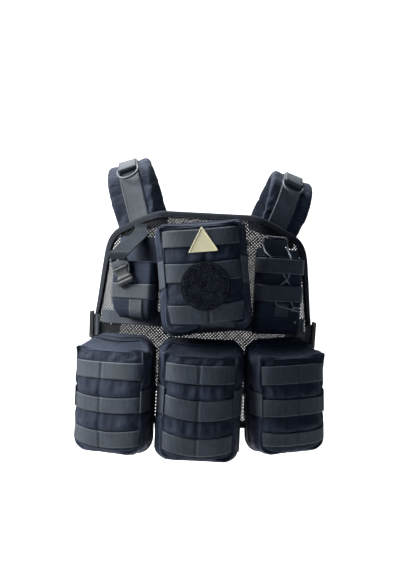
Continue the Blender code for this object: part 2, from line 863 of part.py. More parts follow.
def build_shoulders():
    """Both shoulder pads with their webbing, keepers and rings."""
    for side in ("left", "right"):
        shoulder = Shoulder(side)
        shoulder_pad(shoulder)
        shoulder_webbing(shoulder)
        ring = Ring(shoulder)
        ring_keeper(ring)
        d_ring(ring)


def half_width(width, height, radius, v):
    """Half the width of a round-cornered rectangle at a height from its middle."""
    into = max(0.0, abs(v) - (height / 2 - radius))
    return width / 2 - radius + math.sqrt(max(0.0, radius * radius - into * into))


class PouchForm:
    """The shaped front and gusset of a large pouch, as a function of place."""

    def __init__(self, pouch):
        self.pouch = pouch
        seat = pouch.seat + PANEL_THICK / 2 + BACK_PLATE + GAP
        self.frame = Frame(pouch.along, pouch.z, pouch.roll, seat)
        self.rows = self.row_lines()

    def row_lines(self):
        """Heights of the grid's rows on the face: its corners and the edges of its bands."""
        p = self.pouch
        half = p.face_height / 2
        fixed = [-half, half]
        for low, high in p.bands:
            fixed += [low, high]
        fixed += p.side_band
        soft = [half - p.face_round * CORNER_ROW_SHARE, half - p.face_round]
        soft += [-value for value in soft]
        lines = []
        for value in fixed + soft:
            if all(abs(value - other) >= ROW_SPACING for other in lines):
                lines.append(value)
        return sorted(lines)

    def nearest_row(self, v):
        """The index of the row nearest to a height."""
        return min(range(len(self.rows)), key=lambda k: abs(self.rows[k] - v))

    def local(self, u, v, f, inset=0.0):
        """(u, v, d) of the surface: u from -1 to 1, v a face height, f from back to front."""
        p = self.pouch
        height = between(p.base_height, p.face_height, f) - 2 * inset
        swell = 4 * f * (1 - f)
        width = between(p.base_width, p.face_width, f) - 2 * inset + 2 * p.puff * swell
        radius = between(p.base_round, p.face_round, f)
        share = v / (p.face_height / 2)
        here = share * height / 2
        half = half_width(width, height, radius, here)
        sag = TOP_SAG * swell * (1 - u * u) * max(0.0, share) ** TOP_SAG_POWER
        across = u * half + p.face_shift * f
        up = here + p.base_drop * (1 - f) - sag
        deep = f * (p.depth - inset)
        if f == 1.0:
            crown = (1 - u * u) * (1 - share * share)
            pillow = math.sin(math.pi * min(1.0, max(0.0, self.between_bands(v))))
            deep += FACE_CROWN * crown + FACE_PILLOW * pillow * (1 - u * u)
        return across, up, deep

    def between_bands(self, v):
        """0 on a band and from 0 to 1 across a gap between two bands."""
        bands = self.pouch.bands
        for (_, low), (high, _) in zip(bands, bands[1:]):
            if low < v < high:
                return (v - low) / (high - low)
        return 0.0

    def at(self, u, v, f, inset=0.0):
        """The world point of the surface."""
        return self.frame.at(*self.local(u, v, f, inset))


def pouch_shell(form):
    """Front and gusset as one wall, open towards the wearer."""
    columns = POUCH_COLUMNS
    rows = form.rows
    rim = rim_of(len(columns), len(rows))
    points = []
    faces = []
    starts = []
    for inset in (0.0, CLOTH):
        starts.append(len(points))
        for f in POUCH_RINGS[:-1]:
            points.extend(form.at(columns[i], rows[j], f, inset) for i, j in rim)
        index = {}
        for j, v in enumerate(rows):
            for i, u in enumerate(columns):
                index[i, j] = len(points)
                points.append(form.at(u, v, 1.0, inset))
        layers = [
            [starts[-1] + k * len(rim) + n for n in range(len(rim))]
            for k in range(len(POUCH_RINGS) - 1)
        ]
        layers.append([index[place] for place in rim])
        for low, high in zip(layers, layers[1:]):
            for n in range(len(rim)):
                m = (n + 1) % len(rim)
                faces.append((low[n], low[m], high[m], high[n]))
        for j in range(len(rows) - 1):
            for i in range(len(columns) - 1):
                faces.append((index[i, j], index[i + 1, j], index[i + 1, j + 1], index[i, j + 1]))
    for n in range(len(rim)):
        m = (n + 1) % len(rim)
        faces.append((starts[0] + n, starts[0] + m, starts[1] + m, starts[1] + n))
    solid(f"{form.pouch.name}_shell", points, faces, "cordura")


def rounded_plate(name, frame, outline, low, high, finish):
    """A flat plate over an outline of (u, v) points."""
    rings = [[frame.at(u, v, d) for u, v in outline] for d in (low, high)]
    return solid(name, *loft(rings), finish)


def pouch_back(form):
    """The flat back wall of a large pouch."""
    p = form.pouch
    width = p.base_width + 2 * BACK_MARGIN
    height = p.base_height + 2 * BACK_MARGIN
    radius = p.base_round + BACK_MARGIN
    outline = []
    for turn_u, turn_v in ((1, 1), (-1, 1), (-1, -1), (1, -1)):
        for k in range(BACK_CORNER_STEPS + 1):
            angle = math.pi / 2 * k / BACK_CORNER_STEPS
            if turn_u * turn_v < 0:
                angle = math.pi / 2 - angle
            u = turn_u * (width / 2 - radius + radius * math.cos(angle))
            v = turn_v * (height / 2 - radius + radius * math.sin(angle))
            outline.append((u, v + p.base_drop))
    rounded_plate(f"{p.name}_back", form.frame, outline, -GAP - BACK_PLATE, -GAP, "cordura")


def pouch_bands(form):
    """The webbing rows on the face and on the gusset of a large pouch."""
    p = form.pouch
    for (low, high), place in zip(p.bands, ("lower", "middle", "upper")):
        low = form.rows[form.nearest_row(low)]
        high = form.rows[form.nearest_row(high)]
        lift = form.frame.d * BAND_LIFT
        stations = []
        for u in POUCH_COLUMNS:
            stations.append((form.at(u, low, 1.0) + lift, form.at(u, high, 1.0) + lift, form.frame.d))
        ribbon(f"{p.name}_band_{place}", stations, WEBBING)
    low, high = (form.rows[form.nearest_row(v)] for v in p.side_band)
    for u, side in ((-1.0, "right"), (1.0, "left")):
        out = form.frame.u * u
        stations = []
        for f in POUCH_RINGS[1:]:
            push = out * SIDE_BAND_LIFT
            stations.append((form.at(u, low, f) + push, form.at(u, high, f) + push, out))
        ribbon(f"{p.name}_side_band_{side}", stations, WEBBING)


def seat_on_band(form, heights):
    """How far out a patch lies that rests on the band between these heights."""
    crest = max(form.local(u, v, 1.0)[2] for u in POUCH_COLUMNS for v in heights)
    return crest + BAND_LIFT + WEBBING + GAP


def upper_pouch_trim(form):
    """The loop patch, the triangular patch and the tab under the gusset."""
    frame = form.frame
    middle_band, upper_band = form.pouch.bands[1:]
    low = seat_on_band(form, middle_band)
    disc = []
    for k in range(PATCH_SIDES):
        turn = 2 * math.pi * k / PATCH_SIDES
        disc.append((PATCH_CENTRE[0] + PATCH_RADIUS * math.cos(turn),
                     PATCH_CENTRE[1] + PATCH_RADIUS * math.sin(turn)))
    rounded_plate("loop_patch", frame, disc, low, low + PATCH_THICK, "hook_and_loop")
    apex_u, apex_v = BADGE_APEX
    corners = ((apex_u, apex_v), (apex_u - BADGE_HALF, BADGE_FOOT), (apex_u + BADGE_HALF, BADGE_FOOT))
    outline = []
    for k, (u, v) in enumerate(corners):
        for n in (k - 1, (k + 1) % 3):
            other = corners[n]
            away = math.hypot(other[0] - u, other[1] - v)
            share = BADGE_ROUND / away
            outline.append((between(u, other[0], share), between(v, other[1], share)))
    low = seat_on_band(form, upper_band)
    rounded_plate("triangle_patch", frame, outline, low, low + BADGE_THICK, "rubber")
    stations = []
    foot = form.rows[0]
    for f in POUCH_RINGS[1:]:
        near, far = (form.at(POUCH_COLUMNS[i], foot, f) for i in TAB_COLUMNS)
        push = frame.v * -TAB_LIFT
        stations.append((near + push, far + push, -frame.v))
    ribbon("upper_pouch_tab", stations, WEBBING)


def build_pouches():
    """The four large pouches."""
    for pouch in POUCHES:
        form = PouchForm(pouch)
        pouch_shell(form)
        pouch_back(form)
        pouch_bands(form)
        if pouch.name == "upper_pouch":
            upper_pouch_trim(form)


def cup_outline(cup, grow, from_back=0.0):
    """Plan points (u, d, outward u, outward d) of a small pouch, from side to side round its front."""
    half = cup.width / 2
    flat = math.sqrt(0.5)
    marks = (
        (-half, from_back, -1.0, 0.0),
        (-half, cup.depth - CUP_ROUND, -1.0, 0.0),
        (-half + CUP_ROUND * (1 - flat), cup.depth - CUP_ROUND * (1 - flat), -flat, flat),
        (-half + CUP_ROUND, cup.depth, 0.0, 1.0),
    )
    right = [(-u, d, -out_u, out_d) for u, d, out_u, out_d in reversed(marks)]
    return [
        (u + out_u * grow, d + out_d * grow, out_u, out_d) for u, d, out_u, out_d in [*marks, *right]
    ]


def cup_frame(cup):
    """The axes of a small pouch, with d = 0 at its back wall's outer face."""
    return Frame(cup.along, cup.z, 0.0, cup.seat + PANEL_THICK / 2 + BACK_PLATE + GAP)


def cup_shell(cup, frame, levels):
    """The walls and floor of a small pouch, open at the top."""
    outer = cup_outline(cup, 0.0)
    inner = cup_outline(cup, -CLOTH, CLOTH)
    rings = [[frame.at(u, v, d) for u, d, _, _ in outer] for v in levels]
    rings += [[frame.at(u, v, d) for u, d, _, _ in inner] for v in (levels[-1], levels[0] + CLOTH)]
    solid(f"{cup.name}_shell", *loft(rings), "cordura")


def cup_back(cup, frame):
    """The flat back wall of a small pouch."""
    half = cup.width / 2 + CUP_MARGIN
    cut = CUP_PLATE_CUT
    low = cup.foot - CUP_MARGIN
    outline = (
        (-half + cut, low), (half - cut, low), (half, low + cut), (half, cup.plate_top - cut),
        (half - cut, cup.plate_top), (cut - half, cup.plate_top), (-half, cup.plate_top - cut),
        (-half, low + cut),
    )
    rounded_plate(f"{cup.name}_back", frame, outline, -GAP - BACK_PLATE, -GAP, "cordura")


def cup_band(cup, frame, name, heights, lift):
    """A webbing band round a small pouch, standing off its front by the lift."""
    stations = []
    lifts = {0.0: 0.0, 1.0: lift}
    for u, d, out_u, out_d in cup_outline(cup, 0.0, CUP_BAND_BACK):
        rise = CUP_BAND_PLAY + lifts.get(out_d, lift * CORNER_LIFT_SHARE)
        out = frame.u * out_u + frame.d * out_d
        low, high = (frame.at(u, v, d) + out * rise for v in heights)
        stations.append((low, high, out))
    ribbon(f"{cup.name}_{name}", stations, WEBBING)


def buckle_frame(frame, seat):
    """A function from buckle coordinates (across, down, out) to the world."""
    tilt = math.radians(BUCKLE_TILT)
    across = frame.u * math.cos(tilt) + frame.v * math.sin(tilt)
    down = frame.u * math.sin(tilt) - frame.v * math.cos(tilt)
    start = frame.at(*BUCKLE_BAR_AT, seat)
    return lambda a, b, c: start + across * a + down * b + frame.d * c


def buckle_plug(place):
    """The plug: a bar for the strap, a body, and three prongs that reach into the socket."""
    columns = sorted([*(-c for c in PLUG_COLUMNS), *PLUG_COLUMNS, -BUCKLE_HALF, BUCKLE_HALF])
    low = (SOCKET_THICK - PLUG_THICK) / 2

    def present(i, j):
        if j == 0 or j == 2:
            return True
        if j == 1:
            return i in (0, len(columns) - 2)
        return i in (1, 3, 5)

    cell_plate("buckle_plug", columns, PLUG_ROWS, present, place, low, low + PLUG_THICK, "acetal")


def buckle_socket(place):
    """The socket: a flat sleeve, open towards the plug."""
    end = SOCKET_FROM + SOCKET_LENGTH
    wall = SOCKET_WALL

    def ring(b, inset):
        half = BUCKLE_HALF - inset
        return [
            place(-half, b, inset), place(half, b, inset),
            place(half, b, SOCKET_THICK - inset), place(-half, b, SOCKET_THICK - inset),
        ]

    rings = [ring(end, 0.0), ring(SOCKET_FROM, 0.0), ring(SOCKET_FROM, wall)]
    rings.append(ring(end - SOCKET_FLOOR, wall))
    solid("buckle_socket", *loft(rings), "acetal")


def cell_plate(name, columns, rows, present, place, low, high, finish):
    """A flat plate made of the cells of a grid that are present, the others being holes."""
    points = []
    index = {}
    faces = []

    def corner(i, j, level):
        key = (i, j, level)
        if key not in index:
            index[key] = len(points)
            points.append(place(columns[i], rows[j], level))
        return index[key]

    wide = len(columns) - 1
    tall = len(rows) - 1
    for j in range(tall):
        for i in range(wide):
            if not present(i, j):
                continue
            square = ((i, j), (i + 1, j), (i + 1, j + 1), (i, j + 1))
            for level in (low, high):
                faces.append([corner(a, b, level) for a, b in square])
            beside = ((i, j - 1), (i + 1, j), (i, j + 1), (i - 1, j))
            for k, (a, b) in enumerate(beside):
                if 0 <= a < wide and 0 <= b < tall and present(a, b):
                    continue
                here, there = square[k], square[(k + 1) % 4]
                faces.append([
                    corner(*here, low), corner(*there, low), corner(*there, high), corner(*here, high),
                ])
    return solid(name, points, faces, finish)


def radio_strap(frame):
    """The strap from the panel's top over the radio pouch's mouth to the plug's bar."""
    stations = []
    for k, here in enumerate(RADIO_STRAP):
        before = RADIO_STRAP[max(k - 1, 0)]
        after = RADIO_STRAP[min(k + 1, len(RADIO_STRAP) - 1)]
        run = frame.v * (after.v - before.v) + frame.d * (after.d - before.d)
        out = frame.u.cross(run)
        out = out if out.dot(frame.d) > 0 else -out
        low = frame.at(here.u - here.half, here.v, here.d)
        high = frame.at(here.u + here.half, here.v, here.d)
        stations.append((low, high, out))
    ribbon("radio_pouch_strap", stations, WEBBING)


def radio_pouch():
    """The open radio pouch with its strap and fastened buckle."""
    frame = cup_frame(RADIO)
    cup_shell(RADIO, frame, (RADIO.foot, *RADIO_BAND, RADIO.mouth))
    cup_back(RADIO, frame)
    cup_band(RADIO, frame, "band", RADIO_BAND, 0.0)
    radio_strap(frame)
    place = buckle_frame(frame, RADIO.depth + CUP_BAND_PLAY + WEBBING + GAP)
    buckle_plug(place)
    buckle_socket(place)


def magazine_cord(frame):
    """Shock cord round the tab, crossed between the bands and led out below them."""
    route = [Vector((p.u, p.v, p.d)) for p in CORD_ROUTE]
    curve = bpy.data.curves.new("magazine_pouch_cord", "CURVE")
    curve.dimensions = "3D"
    curve.bevel_depth = CORD_DIAMETER / 2
    curve.bevel_resolution = 2
    curve.use_fill_caps = True
    line = curve.splines.new("POLY")
    line.points.add(CORD_POINTS - 1)
    for k in range(CORD_POINTS):
        spot = smooth(route, k / (CORD_POINTS - 1))
        line.points[k].co = (*frame.at(*spot), 1.0)
    curve.materials.append(material("shock_cord"))
    made = bpy.data.objects.new("magazine_pouch_cord", curve)
    bpy.context.scene.collection.objects.link(made)


def magazine_pouch():
    """The open magazine pouch with its tab, bands and shock cord."""
    frame = cup_frame(MAGAZINE)
    levels = (MAGAZINE.foot, *MAGAZINE_BANDS["lower"], *MAGAZINE_BANDS["upper"], MAGAZINE.mouth)
    cup_shell(MAGAZINE, frame, levels)
    cup_back(MAGAZINE, frame)
    for place, heights in MAGAZINE_BANDS.items():
        cup_band(MAGAZINE, frame, f"band_{place}", heights, MAGAZINE_BAND_LIFT)
    half = MAGAZINE_TAB_WIDTH / 2
    low, high = MAGAZINE_TAB
    shift = MAGAZINE_TAB_SHIFT
    outline = ((shift - half, low), (shift + half, low), (shift + half, high), (shift - half, high))
    rounded_plate("magazine_pouch_tab", frame, outline, 0.0, 2 * WEBBING, "webbing")
    magazine_cord(frame)


def side_strap(side):
    """Webbing from the front panel's edge round the side to the back panel, with its slider."""
    sign = 1.0 if side == "left" else -1.0
    front_edge = from_table(FRONT_EDGE, SIDE_STRAP_FRONT)
    back_edge = from_table(BACK_EDGE, SIDE_STRAP_BACK)
    marks = [
        on_front(front_edge - SIDE_STRAP_LAP, SIDE_STRAP_FRONT, SIDE_STRAP_LIFT),
        on_front(front_edge - SIDE_STRAP_LAP / 2, SIDE_STRAP_FRONT, SIDE_STRAP_LIFT),
        on_front(front_edge, SIDE_STRAP_FRONT, SIDE_STRAP_LIFT),
        Vector((SIDE_STRAP_BULGE, 0.0, (SIDE_STRAP_FRONT + SIDE_STRAP_BACK) / 2)),
        on_back(back_edge, SIDE_STRAP_BACK, SIDE_STRAP_BACK_LIFT),
        on_back(back_edge - SIDE_STRAP_LAP / 2, SIDE_STRAP_BACK, SIDE_STRAP_BACK_LIFT),
        on_back(back_edge - SIDE_STRAP_LAP, SIDE_STRAP_BACK, SIDE_STRAP_LIFT),
    ]
    half = Vector((0.0, 0.0, SIDE_STRAP_WIDTH / 2))
    turned = Vector((sign, 1.0, 1.0))

    def line(share):
        here = smooth(marks, share)
        run = smooth(marks, min(share + AIM_STEP, 1.0)) - smooth(marks, max(share - AIM_STEP, 0.0))
        out = Vector((run.y, -run.x, 0.0)).normalized()
        return here * turned, out * turned, run.normalized() * turned

    stations = []
    for k in range(SIDE_STRAP_STATIONS + 1):
        here, out, _ = line(k / SIDE_STRAP_STATIONS)
        stations.append((here - half, here + half, out))
    ribbon(f"side_strap_{side}", stations, WEBBING)
    here, out, run = line(SLIDER_AT)
    up = out.cross(run).normalized()
    seat = here + out * (WEBBING + 2 * GAP)
    columns = sorted([*(-c for c in SLIDER_COLUMNS), *SLIDER_COLUMNS])
    rows = sorted([*(-r for r in SLIDER_ROWS), *SLIDER_ROWS])

    def place(a, b, c):
        return seat + run * a + up * b + out * c

    def present(i, j):
        return not (j == 1 and i in (1, 3))

    cell_plate(f"side_slider_{side}", columns, rows, present, place, 0.0, SLIDER_THICK, "acetal")


def main():
    """Build the whole vest."""
    clear_scene()
    front_panel()
    back_panel()
    panel_row()
    build_shoulders()
    build_pouches()
    radio_pouch()
    magazine_pouch()
    for side in ("left", "right"):
        side_strap(side)


main()
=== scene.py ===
"""Looks of a load-carrying vest of net and woven nylon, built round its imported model.

Lengths are metres and +Z is up. The front faces -Y, and -X is the wearer's right side.
The small tools come first, then the finishes, then the forms that several pieces follow,
then one class for each sub-assembly, and last the studio.
"""

from __future__ import annotations

import logging
import math
from dataclasses import dataclass, field
from enum import Enum
from typing import Callable, Sequence, Union

import bmesh
import bpy
from mathutils import Matrix, Vector, noise

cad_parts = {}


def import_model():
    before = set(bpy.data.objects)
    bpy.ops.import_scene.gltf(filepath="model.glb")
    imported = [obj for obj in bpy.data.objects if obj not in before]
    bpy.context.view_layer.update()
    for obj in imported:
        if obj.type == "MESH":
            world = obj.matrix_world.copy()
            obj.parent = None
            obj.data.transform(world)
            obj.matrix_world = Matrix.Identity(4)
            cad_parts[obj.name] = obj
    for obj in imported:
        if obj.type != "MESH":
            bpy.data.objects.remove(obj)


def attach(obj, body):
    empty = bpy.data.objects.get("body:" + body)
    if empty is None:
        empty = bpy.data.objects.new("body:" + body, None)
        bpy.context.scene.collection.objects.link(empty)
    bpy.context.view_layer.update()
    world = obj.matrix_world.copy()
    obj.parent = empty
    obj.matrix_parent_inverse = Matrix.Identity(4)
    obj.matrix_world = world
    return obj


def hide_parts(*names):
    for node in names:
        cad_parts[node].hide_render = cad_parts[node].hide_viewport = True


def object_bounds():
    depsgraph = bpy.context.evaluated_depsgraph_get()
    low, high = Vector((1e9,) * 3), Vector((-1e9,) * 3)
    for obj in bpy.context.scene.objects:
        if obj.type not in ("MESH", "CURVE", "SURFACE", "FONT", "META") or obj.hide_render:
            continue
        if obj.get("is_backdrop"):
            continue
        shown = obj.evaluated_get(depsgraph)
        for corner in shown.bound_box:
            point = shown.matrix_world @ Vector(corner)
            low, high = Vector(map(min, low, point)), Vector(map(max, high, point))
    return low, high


LOG = logging.getLogger("vest")
MM = 0.001
TURN = 2 * math.pi
UP = Vector((0.0, 0.0, 1.0))
# The play between two pieces that lie on each other.
GAP = 0.3 * MM
WEBBING = 1.8 * MM
BACK_WALL = 2.0 * MM
# From a panel's middle surface to its face.
HALF_PANEL = 1.5 * MM
# How far stitches stand off the webbing that they hold.
SEAM_LIFT = 0.25 * MM
BODY = "vest"
# Which way along X the wearer's left and right sides lie.
SIGN = {"left": 1.0, "right": -1.0}
MATH, NOISE, RANGE = "ShaderNodeMath", "ShaderNodeTexNoise", "ShaderNodeMapRange"
Colour = tuple[float, float, float, float]
Flat = tuple[float, float]
Spot = tuple[float, float, float]
Place = Callable[[float, float, float], Vector]
Object = bpy.types.Object
Tree = bpy.types.NodeTree
Socket = Union[bpy.types.NodeSocket, bpy.types.Node, float, str, tuple]


# Small tools


def linear(code: str) -> Colour:
    """The linear colour of an sRGB hex value.

    Args:
        code: The colour, as a hash and six hex digits.

    Returns:
        Red, green, blue and an alpha of 1.
    """
    parts = [int(code[k:k + 2], 16) / 255 for k in (1, 3, 5)]
    red, green, blue = (c / 12.92 if c <= 0.04045 else ((c + 0.055) / 1.055) ** 2.4 for c in parts)
    return red, green, blue, 1.0


def add(
    tree: Tree, kind: str, inputs: dict[int | str, Socket] | None = None, **settings: object
) -> bpy.types.Node:
    """Add one node to a tree, with its settings and links.

    Args:
        tree: The tree that takes the node.
        kind: The node's Blender name.
        inputs: A value, an output socket or a node for its first output, for each input.
        settings: The node's own properties.

    Returns:
        The new node.
    """
    node = tree.nodes.new(kind)
    for name, value in settings.items():
        setattr(node, name, value)
    for key, value in (inputs or {}).items():
        if isinstance(value, bpy.types.Node):
            value = value.outputs[0]
        if isinstance(value, bpy.types.NodeSocket):
            tree.links.new(value, node.inputs[key])
        else:
            node.inputs[key].default_value = value
    return node


def between(a: float, b: float, share: float) -> float:
    """The value that lies this share of the way from a to b."""
    return a + (b - a) * share


def ease(share: float) -> float:
    """A share that leaves 0 and reaches 1 softly."""
    share = min(1.0, max(0.0, share))
    return share * share * (3 - 2 * share)


def bump_at(place: float, centre: float, width: float) -> float:
    """A soft hump of height 1 and the given half width."""
    return math.exp(-(((place - centre) / width) ** 2))


def smooth(rows: Sequence[Vector], share: float) -> Vector:
    """A point on the smooth line through the rows, at a share of its length in rows.

    Args:
        rows: The rows, in order.
        share: From 0 at the first row to 1 at the last.

    Returns:
        The point.
    """
    spot = share * (len(rows) - 1)
    k = min(int(spot), len(rows) - 2)
    t = spot - k
    p0, p1 = rows[max(k - 1, 0)], rows[k]
    p2, p3 = rows[k + 1], rows[min(k + 2, len(rows) - 1)]
    return 0.5 * (
        2 * p1 + (p2 - p0) * t + (2 * p0 - 5 * p1 + 4 * p2 - p3) * t * t
        + (3 * p1 - p0 - 3 * p2 + p3) * t * t * t
    )


def facing(way: Vector, towards: Vector) -> Vector:
    """The direction or its opposite, whichever faces towards the other one."""
    return way if way.dot(towards) > 0 else -way


def arc(first: float, last: float, count: int, closed: bool = False) -> list[Flat]:
    """Unit (cosine, sine) pairs at even turns, with the last turn unless it is closed."""
    turns = [between(first, last, k / count) for k in range(count + (not closed))]
    return [(math.cos(turn), math.sin(turn)) for turn in turns]


def round_box(low: Flat, high: Flat, r: float, steps: int) -> list[Flat]:
    """A rectangle between two corners, its own corners rounded in this many steps.

    Args:
        low: The corner with the lower numbers.
        high: The corner opposite.
        r: The radius of the corners.
        steps: How many steps a corner has.

    Returns:
        The points, in order round the rectangle.
    """
    (near, foot), (far, top) = low, high
    middles = ((far - r, top - r), (near + r, top - r), (near + r, foot + r), (far - r, foot + r))
    return [
        (u + r * c, v + r * s) for k, (u, v) in enumerate(middles)
        for c, s in arc(TURN / 4 * k, TURN / 4 * (k + 1), steps)
    ]


def placed(name: str, data: bpy.types.ID) -> Object:
    """A new object of the scene with this data.

    Args:
        name: The object's name.
        data: The mesh or other data that it shows.

    Returns:
        The object.
    """
    made = bpy.data.objects.new(name, data)
    bpy.context.scene.collection.objects.link(made)
    return made


@dataclass
class Draft:
    """Points, faces and pattern places of a mesh while it is drawn."""

    points: list[Vector] = field(default_factory=list)
    worn: list[float] = field(default_factory=list)
    faces: list[tuple[int, ...]] = field(default_factory=list)
    corners: list[tuple[Flat, ...]] = field(default_factory=list)

    def row(self, places: Sequence[Vector], worn: Sequence[float] | float = 0.0) -> list[int]:
        """Add a row of points and give their numbers.

        Args:
            places: The points, in order.
            worn: How worn each is, or all of them are.

        Returns:
            The numbers of the points in the draft.
        """
        first = len(self.points)
        self.points.extend(places)
        self.worn.extend([worn] * len(places) if isinstance(worn, float) else worn)
        return list(range(first, first + len(places)))

    def strip(
        self, low: Sequence[int], high: Sequence[int], low_uv: Sequence[Flat],
        high_uv: Sequence[Flat], closed: bool = False,
    ) -> None:
        """Join two rows with faces.

        Args:
            low: The numbers of the first row.
            high: The numbers of the second row.
            low_uv: A pattern place for each point of the first row, and one more if closed.
            high_uv: The same for the second row.
            closed: Whether the last point joins the first.
        """
        spans = len(low) if closed else len(low) - 1
        for i in range(spans):
            j = (i + 1) % len(low)
            self.faces.append((low[i], low[j], high[j], high[i]))
            self.corners.append((low_uv[i], low_uv[i + 1], high_uv[i + 1], high_uv[i]))

    def cap(self, ring: Sequence[int]) -> None:
        """Close a ring of points with one face, its pattern laid flat on it.

        Args:
            ring: The numbers of the points, in order round the hole.
        """
        self.faces.append(tuple(ring))
        places = [self.points[k] for k in ring]
        middle = sum(places, Vector()) / len(places)
        right = (places[0] - middle).normalized()
        normal = right.cross(places[len(places) // 4] - middle)
        up = normal.cross(right).normalized()
        self.corners.append(tuple(((p - middle).dot(right), (p - middle).dot(up)) for p in places))

    def keep(self, name: str, finish: Finish, angle: float = 55.0) -> Object:
        """The drawn mesh as an object with its faces turned outwards.

        Args:
            name: The object's name.
            finish: What the surface is made of.
            angle: The bend in degrees past which an edge stays sharp.

        Returns:
            The object, linked to the scene.
        """
        mesh = bpy.data.meshes.new(name)
        mesh.from_pydata(self.points, [], self.faces)
        layer = mesh.uv_layers.new(name="UVMap")
        layer.data.foreach_set("uv", [x for face in self.corners for uv in face for x in uv])
        edge = mesh.attributes.new("edge", "FLOAT", "POINT")
        edge.data.foreach_set("value", self.worn)
        shape = bmesh.new()
        shape.from_mesh(mesh)
        bmesh.ops.recalc_face_normals(shape, faces=shape.faces)
        shape.to_mesh(mesh)
        shape.free()
        mesh.materials.append(finish.material())
        mesh.shade_smooth()
        mesh.set_sharp_from_angle(angle=math.radians(angle))
        return placed(name, mesh)


def loft(
    name: str, rings: Sequence[Sequence[Vector]], finish: Finish, closed: bool = False,
    worn: Sequence[float] | float = 0.0, angle: float = 55.0,
) -> Object:
    """A skin over rings of equal size, closed on itself or capped.

    Args:
        name: The piece's name.
        rings: The rings of points, in order along the piece.
        finish: What it is made of.
        closed: Whether the last ring joins the first.
        worn: How worn each point of a ring is, from 0 to 1.
        angle: The bend in degrees past which an edge stays sharp.

    Returns:
        The piece.
    """
    draft = Draft()
    size = len(rings[0])
    middles = [sum(ring, Vector()) / size for ring in rings]
    around = [0.0]
    for k in range(size):
        around.append(around[-1] + (rings[0][(k + 1) % size] - rings[0][k]).length)
    rows = [draft.row(ring, worn) for ring in rings]
    along = 0.0
    spans = len(rows) if closed else len(rows) - 1
    for k in range(spans):
        n = (k + 1) % len(rows)
        ahead = along + (middles[n] - middles[k]).length
        draft.strip(
            rows[k], rows[n], [(along, v) for v in around], [(ahead, v) for v in around], True
        )
        along = ahead
    if not closed:
        draft.cap(rows[0])
        draft.cap(rows[-1])
    return draft.keep(name, finish, angle)


def tube(
    name: str, line: Sequence[Vector], radius: float, finish: Finish, start: Vector,
    sides: int = 10,
) -> Object:
    """A round cord along a line.

    Args:
        name: The piece's name.
        line: The points that its middle passes.
        radius: Its radius.
        finish: What it is made of.
        start: A direction across the line at its first point.
        sides: How many points go round it.

    Returns:
        The piece.
    """
    rings = []
    last = start
    for k, here in enumerate(line):
        run = (line[min(k + 1, len(line) - 1)] - line[max(k - 1, 0)]).normalized()
        side = run.cross(last).normalized()
        last = side.cross(run).normalized()
        rings.append([here + (side * c + last * s) * radius for c, s in arc(0, TURN, sides, True)])
    return loft(name, rings, finish)


def join(name: str, pieces: Sequence[Object]) -> Object:
    """Several pieces made one.

    Args:
        name: The name of the whole.
        pieces: The pieces, which are removed.

    Returns:
        The whole, with the pieces' materials.
    """
    shape = bmesh.new()
    slots: list[bpy.types.Material] = []
    mesh = bpy.data.meshes.new(name)
    for piece in pieces:
        place = {}
        for k, slot in enumerate(piece.data.materials):
            if slot not in slots:
                slots.append(slot)
            place[k] = slots.index(slot)
        start = len(shape.faces)
        shape.from_mesh(piece.data)
        shape.faces.ensure_lookup_table()
        for face in shape.faces[start:]:
            face.material_index = place.get(face.material_index, 0)
    shape.to_mesh(mesh)
    shape.free()
    for slot in slots:
        mesh.materials.append(slot)
    for piece in pieces:
        bpy.data.objects.remove(piece, do_unlink=True)
    return placed(name, mesh)


def settled(obj: Object) -> Object:
    """The object with its modifiers applied to its mesh.

    Args:
        obj: The object, which keeps its name.

    Returns:
        The same object.
    """
    graph = bpy.context.evaluated_depsgraph_get()
    mesh = bpy.data.meshes.new_from_object(obj.evaluated_get(graph), depsgraph=graph)
    obj.modifiers.clear()
    old = obj.data
    obj.data = mesh
    mesh.name = obj.name
    bpy.data.meshes.remove(old)
    return obj


def refine(obj: Object) -> Object:
    """The object after one round of subdivision.

    Args:
        obj: The object.

    Returns:
        The same object.
    """
    step = obj.modifiers.new("refine", "SUBSURF")
    step.levels = 1
    step.render_levels = 1
    return settled(obj)


def rounded(obj: Object, width: float, segments: int = 3) -> Object:
    """The object with its sharp edges rounded.

    Args:
        obj: The object.
        width: The width of the rounding.
        segments: How many faces go across it.

    Returns:
        The same object.
    """
    step = obj.modifiers.new("rounded", "BEVEL")
    step.width = width
    step.segments = segments
    step.limit_method = "ANGLE"
    step.angle_limit = math.radians(35)
    made = settled(obj)
    made.data.shade_smooth()
    made.data.set_sharp_from_angle(angle=math.radians(60))
    return made


def place_piece(
    obj: Object, nodes: Sequence[str] = (), slot: str = "", body: str = BODY
) -> Object:
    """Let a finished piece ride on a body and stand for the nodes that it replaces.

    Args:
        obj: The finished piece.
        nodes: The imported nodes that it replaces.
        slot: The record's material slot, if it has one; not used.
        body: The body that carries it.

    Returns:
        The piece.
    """
    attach(obj, body)
    if nodes:
        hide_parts(*nodes)
    LOG.info("%s: %d faces", obj.name, len(obj.data.polygons))
    return obj


# Finishes


@dataclass(frozen=True)
class Finish:
    """A surface finish, made into one material when it is first asked for."""

    name: str

    def material(self) -> bpy.types.Material:
        """The finish's material.

        Returns:
            The material, which is made the first time it is asked for.
        """
        found = bpy.data.materials.get(self.name)
        if found:
            return found
        made = bpy.data.materials.new(self.name)
        made.use_nodes = True
        tree = made.node_tree
        tree.nodes.clear()
        shader = add(tree, "ShaderNodeBsdfPrincipled", self.paint(tree))
        add(tree, "ShaderNodeOutputMaterial", {"Surface": shader})
        return made

    def paint(self, tree: Tree) -> dict[str, Socket]:
        """Add the finish's own nodes, and give what each input of its shader takes."""
        raise NotImplementedError


# Pale lint that clings to the cloth.
LINT = "#8d9299"


class Weave(Enum):
    """How the threads of a cloth lie."""

    PLAIN = "plain"
    RIBBED = "ribbed"


